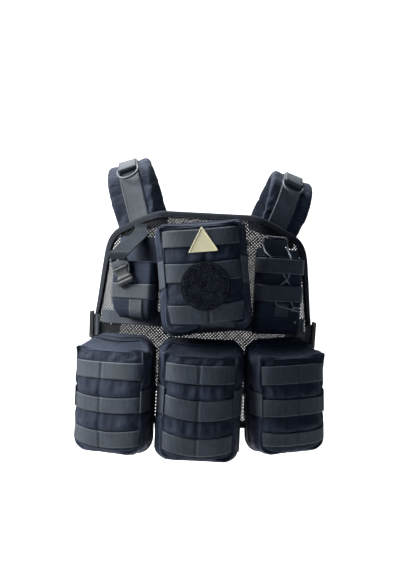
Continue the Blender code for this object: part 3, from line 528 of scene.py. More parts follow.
@dataclass(frozen=True)
class Woven(Finish):
    """Woven nylon: thread crowns over gaps painted darker as shade, with a soft mottle, lint and
    worn edges.
    """

    crown: str
    # The colour of the gaps between the threads: painted shade.
    gap_shade: str
    weave: Weave
    pitch: float
    relief: float
    rough: float = 0.78
    specular: float = 0.20
    sheen: float = 0.03
    mottle: float = 0.30
    wear: str = "#5a616a"
    wear_share: float = 0.12

    def paint(self, tree: Tree) -> dict[str, Socket]:
        """Threads from the pattern places, mottle and lint from the place in space.

        Args:
            tree: The material's node tree.

        Returns:
            The inputs of the shader that the pattern drives.
        """
        uv = add(tree, "ShaderNodeUVMap", uv_map="UVMap")
        split = add(tree, "ShaderNodeSeparateXYZ", {0: uv})
        waves = []
        for axis in (0, 1):
            turns = {0: split.outputs[axis], 1: TURN / self.pitch}
            waves.append(add(
                tree, MATH, {0: add(tree, MATH, turns, operation="MULTIPLY")}, operation="SINE"
            ))
        crossing = add(tree, MATH, {0: waves[0], 1: waves[1]}, operation="MULTIPLY")
        # On ribbed webbing the weft stands out as ribs across the strap.
        rib_share = 0.75 if self.weave is Weave.RIBBED else 0.0
        ribs = add(tree, MATH, {0: waves[0], 1: rib_share}, operation="MULTIPLY")
        threads = add(
            tree, MATH, {0: crossing, 1: 1.0 - rib_share, 2: ribs}, operation="MULTIPLY_ADD"
        )
        height = add(tree, MATH, {0: threads, 1: 0.5, 2: 0.5}, operation="MULTIPLY_ADD")
        places = add(tree, "ShaderNodeTexCoord").outputs["Object"]
        cloud = add(
            tree, NOISE, {"Vector": places, "Scale": 34.0, "Detail": 4.0, "Roughness": 0.6}
        )
        # Yarns of uneven thickness show as faint streaks along the threads.
        stretched = add(tree, "ShaderNodeMapping", {0: uv, "Scale": (520.0, 36.0, 1.0)})
        streak = add(tree, NOISE, {"Vector": stretched, "Scale": 1.0, "Detail": 2.0})
        soft = add(tree, MATH, {0: cloud, 1: streak}, operation="ADD")
        tone = add(tree, RANGE, {"Value": soft, "From Min": 0.75, "From Max": 1.25,
                                 "To Min": -self.mottle, "To Max": self.mottle})
        mixed = add(tree, MATH, {0: height, 1: tone}, operation="ADD", use_clamp=True)
        edge = add(tree, "ShaderNodeAttribute", attribute_name="edge").outputs["Fac"]
        rubbed = add(tree, MATH, {0: edge, 1: cloud}, operation="MULTIPLY")
        amount = add(
            tree, MATH, {0: rubbed, 1: self.wear_share}, operation="MULTIPLY", use_clamp=True
        )
        lint = add(tree, NOISE, {"Vector": places, "Scale": 620.0, "Detail": 1.0})
        flecks = add(
            tree, RANGE, {"Value": lint, "From Min": 0.735, "From Max": 0.80, "To Max": 0.35}
        )
        relief = {"Strength": 0.6, "Distance": self.relief, "Height": mixed}
        # The gaps take the painted shade colour and the thread crowns their own colour.
        colour: Socket = linear(self.gap_shade)
        for share, over in ((mixed, self.crown), (amount, self.wear), (flecks, LINT)):
            colour = add(
                tree, "ShaderNodeMix", blend(share, colour, linear(over)), data_type="RGBA"
            ).outputs[2]
        return {
            "Base Color": colour, "Normal": add(tree, "ShaderNodeBump", relief),
            "Roughness": self.rough, "Specular IOR Level": self.specular,
            "Sheen Weight": self.sheen, "Sheen Roughness": 0.45,
        }


def blend(share: Socket, low: Socket, high: Socket) -> dict[int | str, Socket]:
    """The inputs of a colour Mix node: its share at 0 and its two colours at 6 and 7."""
    return {0: share, 6: low, 7: high}


@dataclass(frozen=True)
class Moulded(Finish):
    """Moulded plastic or rubber: one colour with a faint cloud, fine grain and rubbed spots, which
    on some finishes are also painted glints.
    """

    base: str
    # The second colour, mixed in over a cloud: rubbed wear, and on the loop yarn, zip slider and
    # snap also painted glints.
    rubbed: str
    rough: float
    ior: float
    specular: float = 0.5
    grain: float = 0.06 * MM
    grain_size: float = 0.9 * MM
    rubbed_and_glint_share: float = 0.35
    soft_gloss: float = 0.0

    def paint(self, tree: Tree) -> dict[str, Socket]:
        """Cloud and grain from the place in space.

        Args:
            tree: The material's node tree.

        Returns:
            The inputs of the shader that the pattern drives.
        """
        places = add(tree, "ShaderNodeTexCoord").outputs["Object"]
        cloud = add(
            tree, NOISE, {"Vector": places, "Scale": 90.0, "Detail": 5.0, "Roughness": 0.65}
        )
        share = add(tree, RANGE, {"Value": cloud, "From Min": 0.42, "From Max": 0.72,
                                  "To Max": self.rubbed_and_glint_share})
        colours = blend(share, linear(self.base), linear(self.rubbed))
        grain = add(tree, NOISE, {"Vector": places, "Scale": 1.0 / self.grain_size, "Detail": 2.0})
        relief = {"Strength": 0.5, "Distance": self.grain, "Height": grain}
        gloss = add(tree, RANGE, {"Value": cloud, "From Min": 0.3, "From Max": 0.7,
                                  "To Min": self.rough - 0.06, "To Max": self.rough + 0.08})
        return {
            "Base Color": add(tree, "ShaderNodeMix", colours, data_type="RGBA").outputs[2],
            "Normal": add(tree, "ShaderNodeBump", relief), "Roughness": gloss, "IOR": self.ior,
            "Specular IOR Level": self.specular, "Coat Weight": self.soft_gloss,
        }


@dataclass(frozen=True)
class Braid(Finish):
    """A braided cover over elastic: two sets of strands that cross on the slant, over gaps painted
    darker as shade.
    """

    strand: str
    # The colour of the gaps between the strands: painted shade.
    gap_shade: str
    fleck: str
    pitch: float

    def paint(self, tree: Tree) -> dict[str, Socket]:
        """Strands from the pattern places, which run along and around the cord.

        Args:
            tree: The material's node tree.

        Returns:
            The inputs of the shader that the pattern drives.
        """
        uv = add(tree, "ShaderNodeUVMap", uv_map="UVMap")
        along, around, _ = add(tree, "ShaderNodeSeparateXYZ", {0: uv}).outputs
        waves = []
        for sign in (1.0, -1.0):
            slant = add(tree, MATH, {0: around, 1: sign, 2: along}, operation="MULTIPLY_ADD")
            turns = add(tree, MATH, {0: slant, 1: TURN / self.pitch}, operation="MULTIPLY")
            waves.append(add(tree, MATH, {0: turns}, operation="SINE"))
        top = add(tree, MATH, {0: waves[0], 1: waves[1]}, operation="MAXIMUM")
        height = add(
            tree, MATH, {0: top, 1: 0.5, 2: 0.5}, operation="MULTIPLY_ADD", use_clamp=True
        )
        places = add(tree, "ShaderNodeTexCoord").outputs["Object"]
        spots = add(tree, NOISE, {"Vector": places, "Scale": 420.0})
        flecks = add(
            tree, RANGE, {"Value": spots, "From Min": 0.55, "From Max": 0.70, "To Max": 0.6}
        )
        relief = {"Strength": 0.7, "Distance": 0.2 * MM, "Height": height}
        # The gaps take the painted shade colour and the strands their own colour.
        colour: Socket = linear(self.gap_shade)
        for share, over in ((height, self.strand), (flecks, self.fleck)):
            colour = add(
                tree, "ShaderNodeMix", blend(share, colour, linear(over)), data_type="RGBA"
            ).outputs[2]
        return {
            "Base Color": colour, "Normal": add(tree, "ShaderNodeBump", relief),
            "Roughness": 0.62, "Specular IOR Level": 0.3,
        }


@dataclass(frozen=True)
class Plain(Finish):
    """A matt studio surface with a faint tone."""

    base: str
    rough: float = 0.9

    def paint(self, tree: Tree) -> dict[str, Socket]:
        """One colour with a slow, faint cloud.

        Args:
            tree: The material's node tree.

        Returns:
            The inputs of the shader that the pattern drives.
        """
        places = add(tree, "ShaderNodeTexCoord").outputs["Object"]
        cloud = add(tree, NOISE, {"Vector": places, "Scale": 1.5})
        colours = blend(cloud, linear(self.base), linear("#ffffff"))
        colour = add(tree, "ShaderNodeMix", colours, data_type="RGBA").outputs[2]
        return {"Base Color": colour, "Roughness": self.rough}


# 1000-denier nylon in a plain weave, printed navy and coated on its back: dull, slightly blue,
# with coarse yarns. Its yarns lie 0.8 mm apart and are drawn 1.4 mm apart so that they show.
CORDURA = Woven(
    "cordura_nylon_plain_weave", crown="#2a3345", gap_shade="#0e131b", weave=Weave.PLAIN,
    pitch=2.8 * MM, relief=0.35 * MM,
)
# Polypropylene and nylon webbing: greyer than the cloth, with ribs across it every 1 mm that
# are drawn 2 mm apart.
WEBBED = Woven(
    "nylon_webbing_ribbed", crown="#3a434e", gap_shade="#11161d", weave=Weave.RIBBED,
    pitch=2.0 * MM, relief=0.40 * MM, rough=0.58, specular=0.50, mottle=0.22, wear_share=0.15,
)
# Smooth nylon strap of the buckle, woven tighter than the rest: darker, with flatter ribs.
STRAP_WEB = Woven(
    "nylon_strap_smooth", crown="#2b3138", gap_shade="#0e1216", weave=Weave.RIBBED,
    pitch=2.0 * MM, relief=0.25 * MM, rough=0.80, specular=0.12, sheen=0.01, mottle=0.20,
)
# Grosgrain binding tape: near black, ribbed every 0.7 mm and drawn at 1.6 mm.
GROSGRAIN = Woven(
    "grosgrain_binding_tape", crown="#252b34", gap_shade="#0d1014", weave=Weave.RIBBED,
    pitch=1.6 * MM, relief=0.20 * MM, rough=0.78, specular=0.15, mottle=0.18,
)
# Polyester mesh yarn, melt-spun and dyed black: a weak gloss on round threads.
NET_YARN = Moulded(
    "polyester_net_yarn", base="#0f1114", rubbed="#1d2024", rough=0.62, ior=1.57,
    specular=0.25, grain=0.10 * MM, grain_size=1.2 * MM,
)
# Bonded polyester sewing thread, a little lighter than the cloth because it catches light.
THREAD = Moulded("bonded_sewing_thread", base="#1a1d22", rubbed="#33373d", rough=0.5, ior=1.55)
# Acetal of the rings, injection-moulded with a spark-eroded grain: steel grey, a soft gloss.
RING_ACETAL = Moulded(
    "moulded_acetal_grey", base="#2e353c", rubbed="#454d55", rough=0.42, ior=1.48, specular=0.5,
    grain=0.05 * MM, grain_size=0.7 * MM,
)
# Acetal of the buckle, injection-moulded smooth: near black, glossy enough to outline its edges.
BUCKLE_ACETAL = Moulded(
    "moulded_acetal_black", base="#14191e", rubbed="#242a30", rough=0.48, ior=1.48,
    specular=0.45, grain=0.03 * MM, grain_size=0.7 * MM,
)
# Nylon of the side sliders, injection-moulded: black and dull, with paler rubbed edges.
MOULDED_NYLON = Moulded(
    "moulded_nylon_black", base="#101215", rubbed="#23262a", rough=0.72, ior=1.53, specular=0.2,
    grain=0.05 * MM, grain_size=0.7 * MM,
)
# Nylon monofilament of the zips' coils: black with a fine gloss.
ZIP_COIL = Moulded("nylon_zip_coil", base="#121418", rubbed="#2a2d33", rough=0.38, ior=1.53)
# Painted zinc of the zips' sliders: black enamel with pale patches over a cloud, partly rubbed
# enamel and partly painted glints.
ZIP_SLIDER = Moulded(
    "enamelled_zinc_slider", base="#16181b", rubbed="#6d7074", rough=0.35, ior=1.5,
    rubbed_and_glint_share=0.6,
)
# Napped nylon loop fastener: almost black with a blue cast, its loops lighter than its ground,
# with pale blue-grey patches on the loops as painted glints.
LOOP_GROUND = Moulded(
    "loop_fastener_ground", base="#0b0f17", rubbed="#151b26", rough=0.95, ior=1.5, specular=0.1,
    grain=0.4 * MM, grain_size=1.4 * MM,
)
# Its paler second colour on the loops is painted glint.
LOOP_YARN = Moulded(
    "loop_fastener_yarn", base="#141b26", rubbed="#4c5a6c", rough=0.6, ior=1.53,
    specular=0.3, rubbed_and_glint_share=0.8,
)
# Soft PVC, moulded flat with a raised rim: cream, matt with a faint wax-like gloss.
SOFT_PVC = Moulded(
    "moulded_soft_pvc", base="#f2e9c0", rubbed="#e2d6a4", rough=0.52, ior=1.53,
    grain=0.08 * MM, grain_size=1.6 * MM, soft_gloss=0.05,
)
PVC_EDGE = Moulded("moulded_soft_pvc_edge", base="#1c1b16", rubbed="#3a372c", rough=0.6, ior=1.53)
# Shock cord: rubber strands in a braided polyester cover of grey strands with paler flecks, the
# gaps between the strands painted dark grey as shade.
SHOCK_CORD = Braid(
    "braided_shock_cord", strand="#7d838b", gap_shade="#33373c", fleck="#b4b9bf", pitch=1.9 * MM
)
# Enamelled brass of the snap, stamped: black with a glossy dome and pale spots, partly rubbed
# enamel and partly painted glints.
SNAP_METAL = Moulded(
    "enamelled_brass_snap", base="#17191c", rubbed="#a9acb0", rough=0.22, ior=1.6,
    rubbed_and_glint_share=0.5, soft_gloss=0.4,
)
STUDIO_WHITE = Plain("studio_paper", base="#fbfbfa")


# Rows that Geometry Nodes make


class RowTrees:
    """Node trees for what repeats: beads along a seam, threads of a net, and a napped pile."""

    @staticmethod
    def new(name: str, numbers: dict[str, float]) -> tuple[Tree, bpy.types.Node]:
        """An empty tree with a geometry input and named numbers.

        Args:
            name: The tree's name.
            numbers: The named inputs and their first values.

        Returns:
            The tree and its input node.
        """
        tree = bpy.data.node_groups.new(name, "GeometryNodeTree")
        tree.interface.new_socket("Geometry", in_out="INPUT", socket_type="NodeSocketGeometry")
        for label, value in numbers.items():
            made = tree.interface.new_socket(label, in_out="INPUT", socket_type="NodeSocketFloat")
            made.default_value = value
        tree.interface.new_socket("Geometry", in_out="OUTPUT", socket_type="NodeSocketGeometry")
        return tree, add(tree, "NodeGroupInput")

    @staticmethod
    def close(tree: Tree, shape: bpy.types.Node, finish: Finish, smooth_faces: bool) -> Tree:
        """End a tree in real geometry with its material.

        Args:
            tree: The tree.
            shape: The node that gives the shape.
            finish: The finish.
            smooth_faces: Whether its faces are shaded smooth.

        Returns:
            The same tree.
        """
        real = add(tree, "GeometryNodeRealizeInstances", {0: shape})
        soft = add(tree, "GeometryNodeSetShadeSmooth", {0: real, "Shade Smooth": smooth_faces})
        dressed = add(
            tree, "GeometryNodeSetMaterial",
            {"Geometry": soft, "Material": finish.material()},
        )
        add(tree, "NodeGroupOutput", {0: dressed})
        return tree

    @classmethod
    def beads(cls, finish: Finish) -> Tree:
        """A bead on each point, lying along its run and facing out.

        Args:
            finish: The beads' finish.

        Returns:
            The tree, made once for each finish.
        """
        name = f"beads_of_{finish.name}"
        if name in bpy.data.node_groups:
            return bpy.data.node_groups[name]
        tree, start = cls.new(name, {"Length": 3.0 * MM, "Width": 0.7 * MM, "Height": 0.5 * MM})
        ball = add(tree, "GeometryNodeMeshUVSphere", {"Segments": 6, "Rings": 4, "Radius": 0.5})
        size = add(
            tree, "ShaderNodeCombineXYZ",
            {0: start.outputs["Length"], 1: start.outputs["Width"], 2: start.outputs["Height"]},
        )
        bead = add(tree, "GeometryNodeTransform", {"Geometry": ball, "Scale": size})
        run = add(
            tree, "GeometryNodeInputNamedAttribute", {"Name": "run"}, data_type="FLOAT_VECTOR"
        )
        out = add(
            tree, "GeometryNodeInputNamedAttribute", {"Name": "out"}, data_type="FLOAT_VECTOR"
        )
        turn = add(
            tree, "FunctionNodeAxesToRotation",
            {"Primary Axis": out, "Secondary Axis": run},
            primary_axis="Z", secondary_axis="X",
        )
        rows = add(
            tree, "GeometryNodeInstanceOnPoints",
            {"Points": start, "Instance": bead, "Rotation": turn},
        )
        return cls.close(tree, rows, finish, True)

    @classmethod
    def threads(cls, finish: Finish) -> Tree:
        """A round thread along each run of edges.

        Args:
            finish: The threads' finish.

        Returns:
            The tree, made once.
        """
        if "net_threads" in bpy.data.node_groups:
            return bpy.data.node_groups["net_threads"]
        tree, start = cls.new("net_threads", {"Thread width": 2.0 * MM, "Thread depth": 1.0 * MM})
        lines = add(tree, "GeometryNodeMeshToCurve", {0: start})
        # Upright normals keep the flat knitted bars parallel to the panel as it bends.
        upright = add(tree, "GeometryNodeSetCurveNormal", {0: lines}, mode="Z_UP")
        ring = add(tree, "GeometryNodeCurvePrimitiveCircle", {"Resolution": 6, "Radius": 0.5})
        size = add(
            tree, "ShaderNodeCombineXYZ",
            {0: start.outputs["Thread depth"], 1: start.outputs["Thread width"], 2: 1.0},
        )
        section = add(tree, "GeometryNodeTransform", {"Geometry": ring, "Scale": size})
        skin = add(
            tree, "GeometryNodeCurveToMesh",
            {"Curve": upright, "Profile Curve": section, "Fill Caps": True},
        )
        return cls.close(tree, skin, finish, True)

    @classmethod
    def pile(cls, finish: Finish) -> Tree:
        """Small standing loops strewn over a surface, with a fixed seed.

        Args:
            finish: The loops' finish.

        Returns:
            The tree.
        """
        tree, start = cls.new(
            "loop_pile", {"Loops per square metre": 1.0, "Loop radius": 1.0, "Yarn radius": 1.0}
        )
        spots = add(
            tree, "GeometryNodeDistributePointsOnFaces",
            {"Mesh": start, "Density": start.outputs["Loops per square metre"], "Seed": 7},
        )
        bow = add(
            tree, "GeometryNodeCurveArc",
            {"Resolution": 6, "Radius": start.outputs["Loop radius"], "Sweep Angle": 4.4,
             "Start Angle": -0.6},
        )
        ring = add(
            tree, "GeometryNodeCurvePrimitiveCircle",
            {"Resolution": 3, "Radius": start.outputs["Yarn radius"]},
        )
        loop = add(tree, "GeometryNodeCurveToMesh", {"Curve": bow, "Profile Curve": ring})
        standing = add(
            tree, "GeometryNodeTransform",
            {"Geometry": loop, "Rotation": (math.radians(78), 0.0, 0.0)},
        )
        spin = add(
            tree, "FunctionNodeRandomValue",
            {0: (-0.5, -0.5, 0.0), 1: (0.5, 0.5, TURN), "Seed": 11}, data_type="FLOAT_VECTOR",
        )
        turned = add(
            tree, "FunctionNodeRotateRotation",
            {0: spots.outputs["Rotation"], 1: spin}, rotation_space="LOCAL",
        )
        sizes = add(
            tree, "FunctionNodeRandomValue", {2: 0.7, 3: 1.25, "Seed": 13}, data_type="FLOAT"
        )
        loops = add(
            tree, "GeometryNodeInstanceOnPoints",
            {"Points": spots, "Instance": standing, "Rotation": turned, "Scale": sizes.outputs[1]},
        )
        return cls.close(tree, loops, finish, True)


def grown(name: str, seed: bpy.types.Mesh, tree: Tree, numbers: dict[str, float]) -> Object:
    """The plain mesh that a tree makes from a seed mesh.

    Args:
        name: The piece's name.
        seed: The points, edges or faces that the tree starts from.
        tree: The node tree.
        numbers: A value for each named input that is set.

    Returns:
        The piece, with no modifier left.
    """
    made = placed(name, seed)
    step = made.modifiers.new("grow", "NODES")
    step.node_group = tree
    for item in tree.interface.items_tree:
        if item.item_type == "SOCKET" and item.in_out == "INPUT" and item.name in numbers:
            step[item.identifier] = numbers[item.name]
    return settled(made)


@dataclass
class Seam:
    """A row of beads to be set along a line on a surface."""

    line: list[Vector]
    outs: list[Vector]

    def spots(self, pitch: float) -> tuple[list[Vector], list[Vector], list[Vector]]:
        """Places, runs and outward directions at an even pitch.

        Args:
            pitch: How far apart the beads lie.

        Returns:
            The places, the runs and the outward directions.
        """
        lengths = [0.0]
        for a, b in zip(self.line, self.line[1:]):
            lengths.append(lengths[-1] + (b - a).length)
        count = max(1, int(lengths[-1] / pitch))
        places, runs, outs = [], [], []
        k = 0
        for n in range(count):
            target = (n + 0.5) * lengths[-1] / count
            while lengths[k + 1] < target:
                k += 1
            share = (target - lengths[k]) / max(lengths[k + 1] - lengths[k], 1e-9)
            places.append(self.line[k].lerp(self.line[k + 1], share))
            runs.append((self.line[k + 1] - self.line[k]).normalized())
            outs.append(self.outs[k].lerp(self.outs[k + 1], share).normalized())
        return places, runs, outs


@dataclass(frozen=True)
class Beading:
    """The shape and pitch of what repeats along a seam."""

    finish: Finish
    pitch: float
    length: float
    width: float
    height: float

    def along(self, name: str, seams: Sequence[Seam]) -> Object:
        """The beads of several seams as one piece.

        Args:
            name: The name of the piece.
            seams: The seams.

        Returns:
            The piece, a plain mesh.
        """
        places, runs, outs = [], [], []
        for seam in seams:
            here, run, out = seam.spots(self.pitch)
            places += here
            runs += run
            outs += out
        mesh = bpy.data.meshes.new(name)
        mesh.from_pydata(places, [], [])
        for label, values in (("run", runs), ("out", outs)):
            layer = mesh.attributes.new(label, "FLOAT_VECTOR", "POINT")
            layer.data.foreach_set("vector", [x for value in values for x in value])
        sizes = {"Length": self.length, "Width": self.width, "Height": self.height}
        return grown(name, mesh, RowTrees.beads(self.finish), sizes)


# Stitches are 3 mm long with 0.5 mm thread, drawn 0.8 mm wide so that they show.
STITCHES = Beading(THREAD, pitch=3.6 * MM, length=3.0 * MM, width=0.8 * MM, height=0.6 * MM)
# A size 8 zip: its coil is 7 mm wide with a turn every 2 mm.
ZIP_TEETH = Beading(ZIP_COIL, pitch=2.2 * MM, length=1.3 * MM, width=5.6 * MM, height=1.8 * MM)


# Forms that several pieces follow


@dataclass(frozen=True)
class Stretch:
    """One stretch of the panels' plan line, from the middle outwards."""

    length: float
    turn: float


@dataclass(frozen=True)
class Torso:
    """The curve that both panels follow, and the lean of the chest."""

    stretches: tuple[Stretch, ...] = (
        Stretch(0.080, 0.0), Stretch(0.020, 23.0), Stretch(0.075, 0.0), Stretch(0.064, 62.0),
    )
    front_depth: float = 0.132
    back_depth: float = 0.112
    slope_top: float = -0.070
    slope_foot: float = -0.125
    slope_run: float = 0.010
    slope_power: float = 1.5

    def plan(self, along: float) -> Spot:
        """(x, rise, turn) of the plan line at a distance along it from the middle.

        Args:
            along: The distance, positive on the wearer's left.

        Returns:
            The place across, how far it lies behind the middle, and the turn in radians.
        """
        left = abs(along)
        x = rise = heading = 0.0
        for part in self.stretches:
            run = min(left, part.length)
            bend = math.radians(part.turn) * run / part.length
            if bend:
                radius = run / bend
                x += radius * (math.sin(heading + bend) - math.sin(heading))
                rise += radius * (math.cos(heading) - math.cos(heading + bend))
            else:
                x += run * math.cos(heading)
                rise += run * math.sin(heading)
            heading += bend
            left -= run
        side = math.copysign(1.0, along)
        x += left * math.cos(heading)
        return side * x, rise + left * math.sin(heading), side * heading

    def outward(self, along: float) -> Vector:
        """The direction away from the wearer on the front."""
        turn = self.plan(along)[2]
        return Vector((math.sin(turn), -math.cos(turn), 0.0))

    def front(self, along: float, z: float, out: float = 0.0) -> Vector:
        """A point of the front panel's middle surface, moved outwards.

        Args:
            along: The distance from the middle along the panel.
            z: The height.
            out: How far off the middle surface.

        Returns:
            The point.
        """
        x, rise, _ = self.plan(along)
        share = (z - self.slope_foot) / (self.slope_top - self.slope_foot)
        lean = self.slope_run * max(0.0, share) ** self.slope_power
        base = Vector((x, rise + lean - self.front_depth, z))
        return base + self.outward(along) * out

    def back(self, along: float, z: float, out: float = 0.0) -> Vector:
        """A point of the back panel's middle surface, moved outwards.

        Args:
            along: The distance from the middle along the panel.
            z: The height.
            out: How far off the middle surface.

        Returns:
            The point.
        """
        x, rise, turn = self.plan(along)
        across, deep = out * math.sin(turn), out * math.cos(turn)
        return Vector((x + across, self.back_depth - rise + deep, z))


TORSO = Torso()


@dataclass(frozen=True)
class EdgeRow:
    """Half the width of a panel along its plan line, at one height."""

    z: float
    half: float


def edge_rows(*rows: Flat) -> tuple[EdgeRow, ...]:
    """The rows of an edge, each from its (height, half width)."""
    return tuple(EdgeRow(*row) for row in rows)


@dataclass(frozen=True)
class Axes:
    """Axes on the chest: u to the viewer's right, v up and d away from the wearer."""

    origin: Vector
    u: Vector
    v: Vector
    d: Vector

    @classmethod
    def on_chest(cls, along: float, z: float, roll: float, out: float) -> Axes:
        """Axes at a place on the front panel.

        Args:
            along: Distance from the panel's middle line.
            z: Height.
            roll: Turn in degrees about the outward direction.
            out: Distance from the panel's middle surface.

        Returns:
            The axes.
        """
        d = TORSO.outward(along)
        flat = UP.cross(d)
        tilt = math.radians(roll)
        u = flat * math.cos(tilt) + UP * math.sin(tilt)
        v = UP * math.cos(tilt) - flat * math.sin(tilt)
        return cls(TORSO.front(along, z, out), u, v, d)

    def at(self, u: float, v: float, d: float) -> Vector:
        """The world point of local coordinates."""
        return self.origin + self.u * u + self.v * v + self.d * d

    def circle(self, centre: Flat, radius: float, d: float, count: int) -> list[Vector]:
        """The world points of a circle at a distance from the wearer."""
        u, v = centre
        return [self.at(u + radius * c, v + radius * s, d) for c, s in arc(0, TURN, count, True)]

    def wall(self, name: str, outline: Sequence[Flat], middle: float) -> Object:
        """A back wall: a plate of cloth with a soft edge.

        Args:
            name: The pouch's name.
            outline: The wall's edge as (u, v).
            middle: The height that its edges shrink towards.

        Returns:
            The wall.
        """
        low, high, soft = -GAP - BACK_WALL, -GAP, 0.6 * MM
        rings = []
        for grow, d in ((-soft, low), (0.0, low + soft), (0.0, high - soft), (-soft, high)):
            ring = []
            for u, v in outline:
                scale = 1 + grow / math.hypot(u, v - middle)
                ring.append(self.at(u * scale, middle + (v - middle) * scale, d))
            rings.append(ring)
        return loft(f"{name}_back_wall", rings, CORDURA, worn=0.3)


@dataclass
class Station:
    """One cross-section of a strap: its mid-plane's middle, directions and half width."""

    middle: Vector
    across: Vector
    out: Vector
    half: float

    @classmethod
    def spanning(cls, near: Vector, far: Vector, out: Vector, lift: float) -> Station:
        """The cross-section between two edge points, lifted outwards."""
        span = far - near
        return cls((near + far) / 2 + out * lift, span.normalized(), out, span.length / 2)


@dataclass(frozen=True)
class Strap:
    """Flat webbing: its thickness, its slightly thicker selvedges and its rounded edges."""

    thick: float = WEBBING
    selvedge: float = 0.12 * MM
    rounding: float = 0.8 * MM

    def profile(self, half: float) -> tuple[list[Flat], list[float]]:
        """Section points (across, out) and how worn each is.

        Args:
            half: Half the webbing's width.

        Returns:
            The points once round, and the wear of each.
        """
        top = self.thick / 2
        r = min(self.rounding, half / 3)
        inner = half - 3.2 * r
        rows = [(-half + r, top + self.selvedge), (-inner, top), (-inner / 3, top),
                (inner / 3, top), (inner, top), (half - r, top + self.selvedge)]
        sides = [(half, top * 0.45), (half, -top * 0.45)]
        lower = [(a, -c) for a, c in reversed(rows)]
        points = rows + sides + lower + [(-a, c) for a, c in reversed(sides)]
        worn = [1.0 if abs(a) > half - 1.5 * r else 0.0 for a, _ in points]
        return points, worn

    def ring(self, station: Station) -> list[Vector]:
        """The world points of the section at a station.

        Args:
            station: The place and the directions of the section.

        Returns:
            The points once round.
        """
        points, _ = self.profile(station.half)
        across = station.across.normalized()
        out = station.out.normalized()
        return [station.middle + across * a + out * c for a, c in points]

    def build(self, name: str, stations: Sequence[Station], finish: Finish = WEBBED) -> Object:
        """The strap over its stations."""
        _, worn = self.profile(stations[0].half)
        return loft(name, [self.ring(s) for s in stations], finish, worn=worn)


STRAP = Strap()


@dataclass(frozen=True)
class Settling:
    """How cloth cut a little too large settles between the places where it is sewn down."""

    grow: float = 0.02
    pressure: float = 1.2
    gravity: float = 1.0
    frames: int = 18
    cap: float = 5.0 * MM
    bending: float = 0.4

    def settle(self, obj: Object, held: Sequence[float]) -> None:
        """Run the cloth and keep its shape as the mesh, with each point's way capped.

        Args:
            obj: The piece, whose mesh changes.
            held: How firmly each point is sewn down, from 0 to 1.
        """
        group = obj.vertex_groups.new(name="held")
        for k, weight in enumerate(held):
            if weight > 0:
                group.add([k], weight, "REPLACE")
        step = obj.modifiers.new("settle", "CLOTH")
        cloth = step.settings
        cloth.quality = 5
        cloth.mass = 0.25
        cloth.tension_stiffness = 12.0
        cloth.compression_stiffness = 12.0
        cloth.shear_stiffness = 5.0
        cloth.bending_stiffness = self.bending
        cloth.vertex_group_mass = "held"
        cloth.pin_stiffness = 1.0
        cloth.shrink_min = -self.grow
        cloth.use_pressure = True
        cloth.uniform_pressure_force = self.pressure
        cloth.effector_weights.gravity = self.gravity
        step.collision_settings.use_collision = False
        scene = bpy.context.scene
        step.point_cache.frame_start = 1
        step.point_cache.frame_end = self.frames
        for frame in range(1, self.frames + 1):
            scene.frame_set(frame)
        graph = bpy.context.evaluated_depsgraph_get()
        moved = obj.evaluated_get(graph).to_mesh()
        most = 0.0
        ends = []
        for start, end in zip(obj.data.vertices, moved.vertices):
            way = end.co - start.co
            most = max(most, way.length)
            if way.length > self.cap:
                way *= self.cap / way.length
            ends.append(start.co + way)
        obj.evaluated_get(graph).to_mesh_clear()
        obj.modifiers.clear()
        obj.vertex_groups.clear()
        for vertex, end in zip(obj.data.vertices, ends):
            vertex.co = end
        scene.frame_set(1)
        LOG.info("%s settled by up to %.1f mm", obj.name, most / MM)


def from_table(rows: Sequence[EdgeRow], z: float) -> float:
    """The half width that an edge table gives at a height.

    Args:
        rows: The table of the edge.
        z: The height.

    Returns:
        The half width.
    """
    rows = sorted(rows, key=lambda row: row.z)
    z = min(max(z, rows[0].z), rows[-1].z)
    for low, high in zip(rows, rows[1:]):
        if z <= high.z:
            return between(low.half, high.half, (z - low.z) / (high.z - low.z))
    return rows[-1].half


def top_at(rows: Sequence[EdgeRow], along: float) -> float:
    """The height of a panel's top edge at a distance from its middle.

    Args:
        rows: The table of the top edge, from the middle outwards.
        along: The distance from the middle.

    Returns:
        The height.
    """
    for near, far in zip(rows, rows[1:]):
        if along <= far.half:
            return between(near.z, far.z, (along - near.half) / (far.half - near.half))
    return rows[-1].z


# The body of the vest


